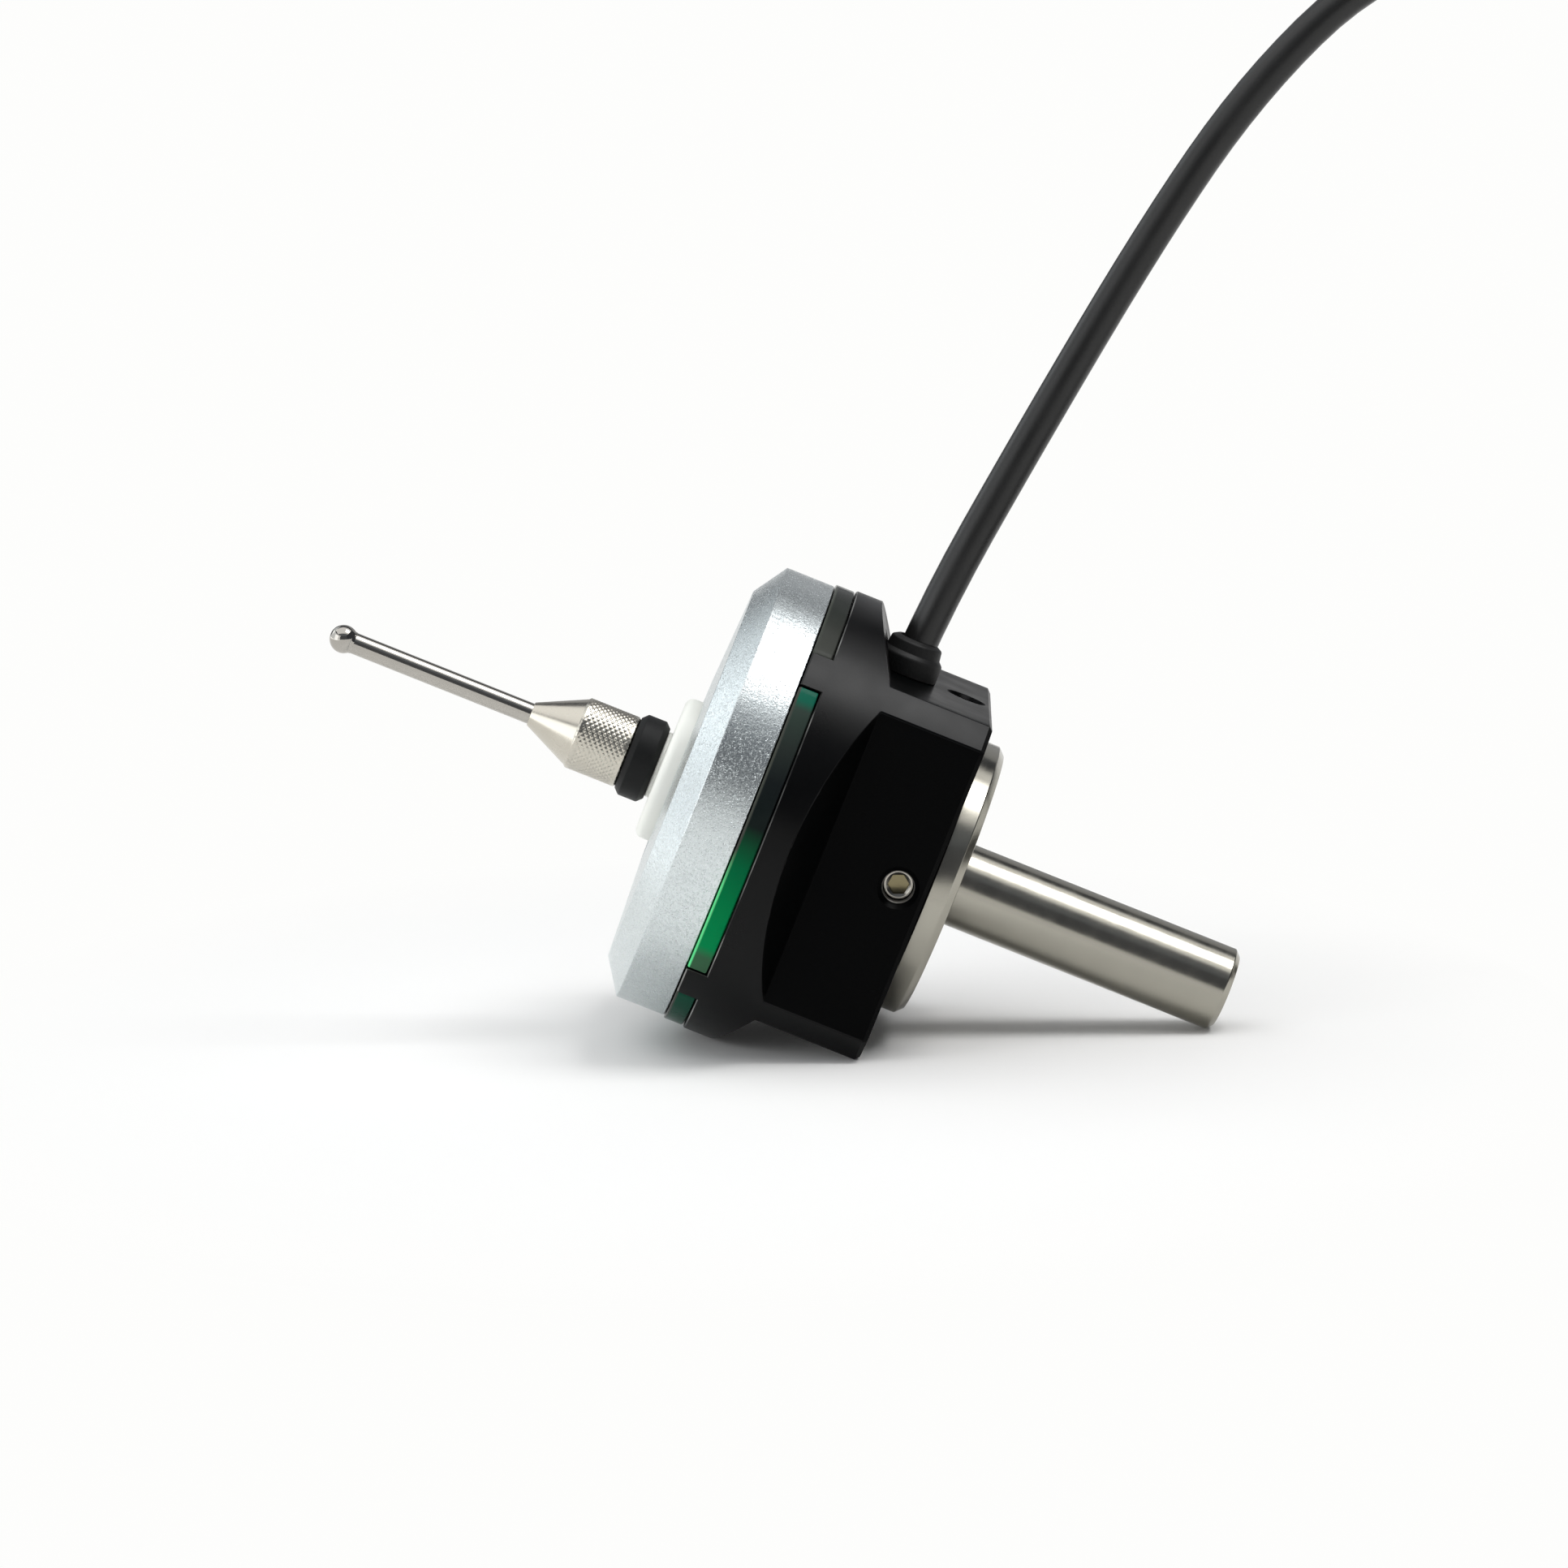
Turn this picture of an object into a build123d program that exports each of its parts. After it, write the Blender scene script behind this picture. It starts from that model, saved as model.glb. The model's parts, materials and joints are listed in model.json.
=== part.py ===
from build123d import *
import math
import os

# A wired touch probe, lying on its side. Millimetres.
# Each piece is drawn on the probe's own axis and laid down at the end. On that axis 0 is the rear face
# of the body, the shank is on the plus side and the stylus on the minus side. Plus X is the flat with
# the cable. Lengths between pieces follow from the sizes below, so a piece moves with what it sits on.

# Clearances
slip = 0.02
seat_play = 0.01
window_gap = 0.12
seal_play = 0.03
cable_play = 0.1
board_play = 0.1

# Body: round in front, four flats behind
body_d = 32.8
across_flats = 24.8
body_length = 13.3
flat_length = 7.6
ramp_length = 2.3
body_edge = 0.3
sides = (0, 90, 180, 270)

# Openings of the body
bore_d = 12.4
bore_depth = 4.5
web = 1.4
web_hole_d = 4.0
recess_d = 8.8
recess_depth = 2.1
cavity_d = 22.0
collar_d = 24.4
collar_reach = 2.3
rim_wall = 1.4
groove_d = body_d - 2 * rim_wall
groove_depth = 3.3
ledge = 0.6
window_depth = 1.5
window_span = 80.0
pocket_width = 4.0
pocket_near = 5.7
pocket_far = 8.5
lead_slot = 1.4

# Front ring
ring_step = 0.3
ring_d = body_d - 2 * ring_step
ring_gap = 0.2
ring_wall = 1.6
ring_bevel = 2.4
ring_crown = 0.35
ring_mouth_d = 12.4
mouth_edge = 0.4
ring_edge = 0.25

# Seat plate, seat balls and seat pins
plate_rim = 1.3
plate_step = 0.4
plate_mouth_d = 13.8
seat_angles = (0, 120, 240)
seat_circle_d = 16.8
seat_ball_d = 2.0
seat_spread = 2.3
seat_sink = 0.3
pin_d = 1.5
pin_start = 4.0
pin_over = 1.6
pin_reach = seat_circle_d / 2 + pin_over

# Hub
hub_ball_gap = 0.8
hub_flange_d = seat_circle_d - seat_ball_d - 2 * hub_ball_gap
hub_skin = 0.18
hub_back = 0.52
hub_face_d = 10.4
hub_proud = 1.15
hub_edge = 0.6
hub_pad_d = 4.8
hub_pad = 0.3
spring_pocket_d = 7.2
spring_pocket = 1.0

# Dust seal
seal_groove = 0.4
seal_slot = 0.3
seal_skin = 0.16

# Stylus and its holder
stylus_ball_d = 2.0
ball_socket = 0.21
stylus_reach = 23.5
stem_d = 1.5
stem_grip = 5.2
nut_d = 6.0
nut_length = 2.15
nut_edge = 0.4
stud_d = 3.0
stud_length = 6.3
knurl_d = 5.2
knurl_length = 3.9
knurl_edge = 0.15
cone_length = 3.4
cone_tip_d = 1.7

# Return spring and its seat
spring_d = 6.0
spring_wire = 0.5
spring_turns = 4.5
spring_seat_proud = 0.3
nipple_d = 5.2
nipple = 0.5
spring_seat_wall = 0.45

# Shank and what holds it
shank_d = 6.0
shank_length = 20.6
shank_root = 0.4
shank_edge = 0.4
flange_d = 20.0
flange = 2.0
flange_rear_edge = 0.5
flange_front_edge = 0.2
spigot_d = 11.6
spigot_short = 0.1
screw_d = 3.0
screw_head_d = 5.5
screw_head = 1.6
screw_length = 9.5
screw_key = 2.5
screw_key_depth = 1.0
washer = 0.3
washer_slit = 0.5
set_screw_d = 2.5
set_screw_length = 5.0
set_screw_place = 2.0
set_screw_key = 1.3
set_screw_key_depth = 1.5
hole_edge = 0.2

# Boards
signal_board = 0.8
board_screw_d = 1.6
board_screw_head_d = 3.0
board_screw_head = 0.7
board_screw_length = 3.2
board_screw_circle_d = 16.0
board_screw_key = 0.4
led_board = 0.8
led_count = 8
led_width = 1.6
led_depth = 0.8
led_height = 0.6
chip_height = 0.8

# Leads
lead_d = 0.4
lead_bend = 0.5
contact_lead_circle_d = 21.0
contact_lead_angles = (60, 300)
led_lead_angle = 180
led_lead_spread = 0.7
core_offset = 0.5

# Cable and its gland
cable_d = 2.5
cable_place = 6.6
cable_end = 8.0
gland_d = 4.5
gland_height = 2.6
gland_top_d = 3.4
gland_stem_d = 3.8
gland_stem = 1.2

# Coil of the cable, with its tie
coil_layers = 4
coil_columns = 4
coil_middle_d = 27.5
coil_x = 78.5
coil_y = -5.7
outlet_angle = 350.0
tie_width = 3.0
tie_thickness = 0.5
tie_play = 0.1
tie_angle = 215.0

# Plug
boot_d = 7.0
boot_tip_d = 3.6
boot_length = 16.0
boot_grip = 7.0
boot_ribs = 3
rib_width = 1.6
rib_pitch = 2.8
rib_depth = 0.5
boot_bore = 5.0
shell_d = 6.0
shell_wall = 0.5
shell_length = 7.0
insert_length = 5.0
plug_pin_d = 0.8
plug_pin_circle_d = 2.8
plug_pin_length = 7.5
plug_pin_angles = (45, 135, 225, 315)

# Places along the axis, from the rear face forward
rim = -body_length
web_rear = -bore_depth
web_front = web_rear - web
cavity_floor = web_front - recess_depth
collar_front = rim - collar_reach
groove_floor = rim + groove_depth
window_floor = rim + window_depth
ring_rear = rim - ring_gap
plate_front = collar_front - plate_rim
plate_rear = collar_front + plate_step
ring_shoulder = plate_front - ring_wall
ring_front = ring_shoulder - ring_crown
ball_level = plate_rear - seat_sink
ball_pin_reach = (seat_ball_d + pin_d) / 2 + seat_play
pin_level = ball_level + math.sqrt(ball_pin_reach ** 2 - (seat_spread / 2) ** 2)
flange_front = pin_level - pin_d / 2 - hub_skin
hub_rear = pin_level + pin_d / 2 + hub_back
hub_front = ring_front - hub_proud
pad_front = hub_front - hub_pad
nut_front = pad_front - nut_length
knurl_front = nut_front - knurl_length
cone_front = knurl_front - cone_length
ball_centre = pad_front - stylus_reach
seal_middle = plate_front - seal_slot / 2
spring_front = hub_rear - spring_pocket
spring_rear = cavity_floor - spring_seat_proud
board_front = cavity_floor - signal_board
shank_end = flange + shank_length

# Rest: the lower rear edge of the body and the lower rim of the shank's end touch the bench
half_flats = across_flats / 2
shank_rim = shank_end - shank_edge
tilt = math.atan2(half_flats - shank_d / 2, shank_rim + body_edge)
rest_height = half_flats * math.cos(tilt) - body_edge * math.sin(tilt)
tip_x = ball_centre * math.cos(tilt) - stylus_ball_d / 2
end_x = shank_end * math.cos(tilt) + (shank_d / 2 - shank_edge) * math.sin(tilt)
lie_down = Plane(
    origin=(-(tip_x + end_x) / 2, 0, rest_height),
    x_dir=(math.sin(tilt), 0, math.cos(tilt)),
    z_dir=(math.cos(tilt), 0, -math.sin(tilt)),
).location

# Outermost turn of the coil, its top and bottom layer, and how far from the tangent point the cable
# is clear of the turns
outer_turn = coil_middle_d / 2 + (coil_columns - 1) * cable_d / 2
top_layer = (coil_layers - 0.5) * cable_d
low_layer = cable_d / 2
stub = math.sqrt(2 * outer_turn * cable_d) + 0.15

# Cable route in the room, from its cut end in the body up, over and down to the coil
gland_line = [
    tuple((lie_down * Pos(reach, 0, -cable_place)).position) for reach in (cable_end, cable_end + 8.0)
]
cable_route = gland_line + [
    (17.5, 2.1, 41.6),
    (26.2, 4.1, 55.7),
    (33.1, 5.4, 65.3),
    (41.3, 7.3, 73.0),
    (50.5, 8.9, 75.6),
    (59.6, 10.6, 72.6),
    (64.9, 12.8, 65.2),
    (66.4, 16.0, 53.8),
    (65.6, 19.4, 41.8),
    (63.6, 22.4, 30.3),
    (61.7, 22.7, 19.7),
    (coil_x - outer_turn, 18.6, 12.8),
    (coil_x - outer_turn, 11.6, top_layer),
    (coil_x - outer_turn, coil_y + stub, top_layer),
]

# Tail of the cable, from the lowest turn of the coil round to the plug, which lies on the bench
coil_outlet = Pos(coil_x, coil_y, 0) * Rot(0, 0, outlet_angle) * Pos(outer_turn, stub, low_layer)
plug_heading = Vector(-1, 0, 0)
plug_bend = Vector(85.7, 20.9, boot_d / 2)
plug_end = plug_bend + 7.5 * plug_heading
tail_route = [
    tuple(coil_outlet.position),
    tuple((coil_outlet * Pos(0, 5.3, 0)).position),
    (97.4, 11.1, 1.5),
    (94.7, 15.7, 2.1),
    (90.7, 19.1, 2.9),
    tuple(plug_bend),
    tuple(plug_end),
]


def tube(inner_d, outer_d, start, end):
    """Round pipe on the axis between two places."""
    section = Circle(outer_d / 2) - Circle(inner_d / 2)
    return Pos(0, 0, start) * extrude(section, end - start)


def rod(diameter, start, end):
    """Round bar on the axis between two places."""
    return Pos(0, 0, start) * extrude(Circle(diameter / 2), end - start)


def turned(*outline, rounds=()):
    """Body of revolution from (radius, place) points; rounds are (radius, place, fillet)."""
    section = make_face(Polyline(*[(r, z) for r, z in outline], close=True))
    for r, z, fillet_r in rounds:
        corner = section.vertices().sort_by_distance((r, z, 0))[0]
        section = fillet(corner, fillet_r)
    return revolve(Plane.XZ * section, Axis.Z)


def sector(inner_d, outer_d, start, end, span):
    """Piece of a pipe, centred on plus X, that spans an angle in degrees."""
    points = [
        (inner_d / 2, start),
        (outer_d / 2, start),
        (outer_d / 2, end),
        (inner_d / 2, end),
    ]
    section = Plane.XZ * make_face(Polyline(*points, close=True))
    return Rot(0, 0, -span / 2) * revolve(section, Axis.Z, span)


def outward(angle, place):
    """Puts what is drawn along plus Z on a radius of the probe, pointing out."""
    return Pos(0, 0, place) * Rot(0, 0, angle) * Rot(0, 90, 0)


def hexagon(across, start, end):
    """Hexagonal bar on the axis between two places."""
    section = RegularPolygon(across / 2, 6, major_radius=False)
    return Pos(0, 0, start) * extrude(section, end - start)


def wire(points, diameter, bends):
    """Round wire along straight runs joined by arcs."""
    path = FilletPolyline(*points, radius=bends)
    start = Plane(origin=path @ 0, z_dir=path % 0)
    return sweep(start * Circle(diameter / 2), path=path)


def group(pieces):
    """Separate solids of one kind in one node."""
    return Compound(children=list(pieces))


def stylus_ball():
    """Ball with the shallow socket that the stem is brazed into."""
    ball = Sphere(stylus_ball_d / 2)
    return Pos(0, 0, ball_centre) * (ball - rod(stem_d, stem_start(), stylus_ball_d))


def stem_start():
    """Front end of the stem, behind the centre of the ball."""
    return math.sqrt((stylus_ball_d / 2) ** 2 - (stem_d / 2) ** 2) - ball_socket


def stylus_stem():
    """Straight stem from the ball into the holder."""
    return rod(stem_d, ball_centre + stem_start(), cone_front + stem_grip)


def stylus_holder():
    """Cone, grip and threaded stud in one turned piece, bored for the stem."""
    stud_end = nut_front + stud_length
    holder = turned(
        (0, cone_front),
        (cone_tip_d / 2, cone_front),
        (knurl_d / 2 - knurl_edge, knurl_front),
        (knurl_d / 2, knurl_front + knurl_edge),
        (knurl_d / 2, nut_front - knurl_edge),
        (knurl_d / 2 - knurl_edge, nut_front),
        (stud_d / 2, nut_front),
        (stud_d / 2, stud_end - 0.3),
        (stud_d / 2 - 0.3, stud_end),
        (0, stud_end),
    )
    return holder - rod(stem_d, cone_front, cone_front + stem_grip)


def lock_nut():
    """Round nut on the stud, tight against the hub."""
    nut = rod(nut_d, nut_front, pad_front) - rod(stud_d + 2 * slip, nut_front, pad_front)
    outer = nut.edges().filter_by(GeomType.CIRCLE).sort_by(SortBy.RADIUS)[-2:]
    return chamfer(outer, nut_edge)


def carrier_hub():
    """Moulded hub: face with a pad, boss through the seal, flange with three pins."""
    face_r = hub_face_d / 2
    flange_r = hub_flange_d / 2
    hub = turned(
        (0, pad_front),
        (hub_pad_d / 2, pad_front),
        (hub_pad_d / 2, hub_front),
        (face_r, hub_front),
        (face_r, flange_front),
        (flange_r, flange_front),
        (flange_r, hub_rear),
        (spring_pocket_d / 2, hub_rear),
        (spring_pocket_d / 2, spring_front),
        (0, spring_front),
        rounds=[(face_r, hub_front, hub_edge), (flange_r, hub_rear, 0.2)],
    )
    hub -= rod(stud_d + 2 * slip, pad_front, nut_front + stud_length + 0.2)
    lip = seal_middle - seal_groove / 2
    hub -= tube(hub_face_d - 2 * seal_groove, hub_face_d + 1, lip, lip + seal_groove)
    for angle in seat_angles:
        hub -= outward(angle, pin_level) * rod(pin_d, pin_start, flange_r + 1)
    return hub


def kinematic_pins():
    """Three hard pins that stand out of the hub, each to lie between two balls."""
    pin = rod(pin_d, pin_start, pin_reach)
    pin = chamfer(pin.edges().filter_by(GeomType.CIRCLE), 0.12)
    return group(outward(angle, pin_level) * pin for angle in seat_angles)


def seat_ball_places():
    """Centres of the seat balls, two for each pin."""
    spread = seat_spread / 2
    for angle in seat_angles:
        for side in (-spread, spread):
            yield Rot(0, 0, angle) * Pos(seat_circle_d / 2, side, ball_level)


def contact_balls():
    """Six balls in pairs on the seat plate."""
    return group(place * Sphere(seat_ball_d / 2) for place in seat_ball_places())


def contact_plate():
    """Stepped ring that holds the balls in cups; its rim is clamped behind the front ring."""
    step_r = cavity_d / 2 - board_play
    plate = turned(
        (plate_mouth_d / 2, plate_front),
        (collar_d / 2 - board_play, plate_front),
        (collar_d / 2 - board_play, collar_front),
        (step_r, collar_front),
        (step_r, plate_rear),
        (plate_mouth_d / 2, plate_rear),
    )
    for place in seat_ball_places():
        plate -= place * Sphere(seat_ball_d / 2 + slip)
    return plate


def front_ring():
    """Screwed ring with a bevelled front, a round mouth and a recess for the seal."""
    outer_r = ring_d / 2
    bevel_r = outer_r - ring_bevel
    mouth_r = ring_mouth_d / 2
    recess_r = seal_rim_d() / 2 + slip
    bore_r = collar_d / 2 + slip
    return turned(
        (outer_r, ring_rear),
        (outer_r, plate_front),
        (bevel_r, ring_shoulder),
        (mouth_r + mouth_edge, ring_front),
        (mouth_r, ring_front + mouth_edge),
        (mouth_r, plate_front - seal_slot),
        (recess_r, plate_front - seal_slot),
        (recess_r, plate_front),
        (bore_r, plate_front),
        (bore_r, ring_rear),
        rounds=[
            (outer_r, plate_front, ring_edge),
            (bevel_r, ring_shoulder, ring_edge),
            (outer_r, ring_rear, ring_edge / 2),
        ],
    )


def seal_rim_d():
    """Outside of the seal's rim, which the seat plate covers."""
    return plate_mouth_d + 1.6


def dust_seal():
    """Thin ring between the hub's groove and the front ring, with a thick lip and rim."""
    rim_r = seal_rim_d() / 2
    lip_r = hub_face_d / 2 - seal_groove + seal_play
    lip_half = seal_groove / 2 - seal_play
    rim_half = seal_slot / 2 - seal_play
    skin = seal_skin / 2
    lip_end = hub_face_d / 2 - 0.05
    rim_start = plate_mouth_d / 2 + 0.1
    return turned(
        (lip_r, seal_middle - lip_half),
        (lip_end, seal_middle - lip_half),
        (lip_end, seal_middle - skin),
        (rim_start, seal_middle - skin),
        (rim_start, seal_middle - rim_half),
        (rim_r, seal_middle - rim_half),
        (rim_r, seal_middle + rim_half),
        (rim_start, seal_middle + rim_half),
        (rim_start, seal_middle + skin),
        (lip_end, seal_middle + skin),
        (lip_end, seal_middle + lip_half),
        (lip_r, seal_middle + lip_half),
    )


def return_spring():
    """Coil spring from the hub's pocket to the spring seat."""
    height = spring_rear - spring_front - spring_wire - 2 * slip
    path = Helix(height / spring_turns, height, spring_d / 2)
    section = Plane(origin=path @ 0, z_dir=path % 0) * Circle(spring_wire / 2)
    coil = sweep(section, path=path, is_frenet=True)
    return Pos(0, 0, spring_front + spring_wire / 2 + slip) * coil


def spring_seat():
    """Cap over the head of the shank screw, with a nipple that centres the spring."""
    cap_r = recess_d / 2 - board_play
    room_r = screw_head_d / 2 + 0.15
    room_front = spring_rear + spring_seat_wall
    return turned(
        (0, spring_rear - nipple),
        (nipple_d / 2 - 0.15, spring_rear - nipple),
        (nipple_d / 2, spring_rear - nipple + 0.15),
        (nipple_d / 2, spring_rear),
        (cap_r, spring_rear),
        (cap_r, web_front),
        (room_r, web_front),
        (room_r, room_front),
        (0, room_front),
    )


def shank():
    """Shank, flange and spigot in one turned piece, tapped for the screw."""
    stem_r = shank_d / 2
    flange_r = flange_d / 2
    spigot_r = spigot_d / 2
    spigot_end = web_rear + spigot_short
    piece = turned(
        (0, spigot_end),
        (spigot_r - 0.3, spigot_end),
        (spigot_r, spigot_end + 0.3),
        (spigot_r, 0),
        (flange_r - flange_front_edge, 0),
        (flange_r, flange_front_edge),
        (flange_r, flange - flange_rear_edge),
        (flange_r - flange_rear_edge, flange),
        (stem_r, flange),
        (stem_r, shank_rim),
        (stem_r - shank_edge, shank_end),
        (0, shank_end),
        rounds=[(stem_r, flange, shank_root)],
    )
    return piece - rod(screw_d + 2 * slip, spigot_end, web_front - washer + screw_length + 0.5)


def shank_screw():
    """Socket head screw through the web into the shank."""
    seat = web_front - washer
    head = rod(screw_head_d, seat - screw_head, seat)
    head -= hexagon(screw_key, seat - screw_head, seat - screw_head + screw_key_depth)
    return head + rod(screw_d, seat, seat + screw_length)


def spring_washer():
    """Split washer under the head of the screw."""
    ring = tube(screw_d + 0.2, screw_head_d, web_front - washer, web_front)
    slit = Pos(screw_head_d / 2, 0, web_front) * Box(screw_head_d, washer_slit, 3 * washer)
    return ring - slit


def set_screws():
    """Four socket set screws in the flats, which centre and hold the spigot."""
    start = spigot_d / 2
    end = start + set_screw_length
    screw = rod(set_screw_d, start, end)
    screw = chamfer(screw.edges().filter_by(GeomType.CIRCLE), 0.2)
    screw -= hexagon(set_screw_key, end - set_screw_key_depth, end)
    return group(outward(side, -set_screw_place) * screw for side in sides)


def main_body():
    """Turned body with four milled flats, light windows in its rim and room for the boards."""
    outer_r = body_d / 2
    groove_r = groove_d / 2
    body = turned(
        (web_hole_d / 2, web_rear),
        (bore_d / 2, web_rear),
        (bore_d / 2, 0),
        (outer_r, 0),
        (outer_r, rim),
        (groove_r, rim),
        (groove_r, window_floor),
        (groove_r - ledge, window_floor),
        (groove_r - ledge, groove_floor),
        (collar_d / 2, groove_floor),
        (collar_d / 2, collar_front),
        (cavity_d / 2, collar_front),
        (cavity_d / 2, cavity_floor),
        (recess_d / 2, cavity_floor),
        (recess_d / 2, web_front),
        (web_hole_d / 2, web_front),
    )
    for side in sides:
        body -= Rot(0, 0, side) * flat_cut()
    rear_edges = body.faces().sort_by(Axis.Z)[-1].outer_wire().edges()
    body = chamfer(rear_edges, body_edge)
    window = sector(groove_d - 1, body_d + 2, rim - 1, window_floor, window_span)
    for side in sides:
        body -= Rot(0, 0, side) * window
        body -= outward(side, -set_screw_place) * set_screw_hole()
    for place in board_screw_places():
        body -= place * rod(board_screw_d, board_front, board_front + board_screw_length + 0.3)
    return body - cable_way() - led_lead_slot()


def flat_cut():
    """What is milled off for one flat and the ramp in front of it."""
    overrun = 1.5
    depth = body_d / 2 - half_flats
    points = [
        (half_flats, 1),
        (half_flats, -flat_length),
        (half_flats + overrun * depth, -flat_length - overrun * ramp_length),
        (body_d, -flat_length - overrun * ramp_length),
        (body_d, 1),
    ]
    section = Plane.XZ * make_face(Polyline(*points, close=True))
    return extrude(section, body_d, both=True)


def set_screw_hole():
    """Tapped hole from a flat to the bore, with a broken edge."""
    edge_start = half_flats - hole_edge
    edge = turned(
        (0, edge_start),
        (set_screw_d / 2 + slip, edge_start),
        (set_screw_d / 2 + hole_edge, half_flats),
        (set_screw_d / 2 + hole_edge, half_flats + 1),
        (0, half_flats + 1),
    )
    return rod(set_screw_d + 2 * slip, bore_d / 2 - 1, half_flats) + edge


def cable_way():
    """Hole for the cable, with room for the gland and for the cable's cores."""
    hole = rod(cable_d + 2 * cable_play, pocket_near, half_flats)
    hole += rod(gland_stem_d + 2 * slip, half_flats - gland_stem, half_flats)
    hole += rod(gland_d + 0.3, half_flats, body_d)
    pocket_length = pocket_far - pocket_near
    pocket = Box(
        pocket_length,
        pocket_width,
        -cavity_floor - cable_place + cable_d / 2 + cable_play,
        align=(Align.MIN, Align.CENTER, Align.MIN),
    )
    return outward(0, -cable_place) * hole + Pos(pocket_near, 0, cavity_floor) * pocket


def led_lead_slot():
    """Slot through the root of the collar for the leads of the LED board."""
    slot = Box(collar_d / 2 - cavity_d / 2 + 1, 2 * led_lead_spread + 1, lead_slot)
    middle = (collar_d + cavity_d) / 4
    return Rot(0, 0, led_lead_angle) * Pos(middle, 0, groove_floor - led_board + 0.4) * slot


def light_guide():
    """Green ring in the groove of the rim, with a window in each notch."""
    gap_angle = math.degrees(window_gap / (body_d / 2))
    ring_outer = groove_d - 2 * board_play
    guide = tube(collar_d + 2 * board_play, ring_outer, rim, window_floor)
    window = sector(
        ring_outer - 1,
        body_d - 2 * window_gap,
        rim,
        window_floor - window_gap,
        window_span - 2 * gap_angle,
    )
    for side in sides:
        guide += Rot(0, 0, side) * window
    return guide


def led_board_ring():
    """Flat ring that carries the LEDs at the bottom of the groove."""
    outer = groove_d - 2 * ledge - 2 * board_play
    return tube(collar_d + 2 * board_play, outer, groove_floor - led_board, groove_floor)


def leds():
    """Small square LEDs under the light guide."""
    middle = (collar_d + groove_d - 2 * ledge) / 4
    height = groove_floor - led_board - led_height / 2
    chip = Pos(middle, 0, height) * Box(led_depth, led_width, led_height)
    step = 360 / led_count
    return group(Rot(0, 0, step * (i + 0.5)) * chip for i in range(led_count))


def signal_board_ring():
    """Round board on the cavity's floor, open in the middle for the spring seat."""
    board = tube(recess_d + 2 * board_play, cavity_d - 2 * board_play, board_front, cavity_floor)
    for place in board_screw_places():
        board -= place * rod(board_screw_d + 0.2, board_front, cavity_floor)
    return board


def board_screw_places():
    """The two screws of the signal board, beside the cable's side."""
    for angle in (90, 270):
        yield Rot(0, 0, angle) * Pos(board_screw_circle_d / 2, 0, 0)


def board_screws():
    """Slotted screws that hold the signal board."""
    screw = rod(board_screw_head_d, board_front - board_screw_head, board_front)
    screw += rod(board_screw_d, board_front, board_front + board_screw_length)
    slot = Pos(0, 0, board_front - board_screw_head) * Box(board_screw_head_d, board_screw_key, 0.5)
    return group(place * (screw - slot) for place in board_screw_places())


def board_components():
    """Chips on the signal board: (angle, radius, length, width) each."""
    middle = (cavity_d + recess_d) / 4
    chips = (
        (180, middle, 3.0, 3.0),
        (145, middle, 1.6, 0.8),
        (215, middle, 1.6, 0.8),
        (30, middle, 2.0, 1.2),
        (330, middle, 2.0, 1.2),
        (0, middle, 1.6, 0.8),
    )
    return group(
        Rot(0, 0, angle)
        * Pos(radius, 0, board_front - chip_height / 2)
        * Box(width, length, chip_height)
        for angle, radius, length, width in chips
    )


def contact_leads():
    """Two leads from the seat plate to the signal board."""
    lead = Pos(contact_lead_circle_d / 2, 0, 0) * rod(lead_d, plate_rear, board_front)
    return group(Rot(0, 0, angle) * lead for angle in contact_lead_angles)


def led_leads():
    """Two leads from the LED board through the collar to the signal board."""
    level = groove_floor - led_board + 0.4
    start = collar_d / 2 + board_play
    turn = cavity_d / 2 - 0.6
    places = [
        Rot(0, 0, led_lead_angle) * Pos(0, side, 0) for side in (-led_lead_spread, led_lead_spread)
    ]
    points = [(start, 0, level), (turn, 0, level), (turn, 0, board_front)]
    lead = wire(points, lead_d, lead_bend)
    return group(place * lead for place in places)


def signal_leads():
    """The cable's four cores, bent up to the back of the signal board."""
    pieces = []
    for across in (-core_offset, core_offset):
        for depth in (-core_offset, core_offset):
            level = -cable_place + depth
            turn = cable_end - 0.75 - (depth + core_offset)
            points = [(cable_end, across, level), (turn, across, level), (turn, across, cavity_floor)]
            pieces.append(wire(points, lead_d, lead_bend))
    return group(pieces)


def cable_gland():
    """Rubber strain relief, stem in the body and collar on the flat."""
    bore_r = cable_d / 2 + cable_play
    stem_r = gland_stem_d / 2
    outer_r = gland_d / 2
    top = half_flats + gland_height
    gland = turned(
        (bore_r, half_flats - gland_stem),
        (stem_r, half_flats - gland_stem),
        (stem_r, half_flats),
        (outer_r, half_flats),
        (outer_r, top - 1.0),
        (gland_top_d / 2, top),
        (bore_r, top),
        rounds=[(outer_r, top - 1.0, 0.5)],
    )
    return outward(0, -cable_place) * gland


def arc_radii(route):
    """Largest arcs that a route's runs allow, one for each corner."""
    points = [Vector(*point) for point in route]
    radii = []
    for before, corner, after in zip(points, points[1:], points[2:]):
        turn = math.radians((corner - before).get_angle(after - corner))
        shorter = min((corner - before).length, (after - corner).length)
        radii.append(0.45 * shorter / math.tan(turn / 2))
    return radii


def free_cable(route, name):
    """Cable along a route in the room; prints its length and tightest bend."""
    radii = arc_radii(route)
    path = FilletPolyline(*route, radius=radii)
    section = Plane(origin=path @ 0, z_dir=path % 0) * Circle(cable_d / 2)
    piece = sweep(section, path=path)
    ideal = math.pi * cable_d ** 2 / 4 * path.length
    print(name, "length", round(path.length, 1), "radii", [round(r, 1) for r in radii])
    print(name, "volume", round(piece.volume, 1), "section times length", round(ideal, 1))
    return piece


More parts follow.
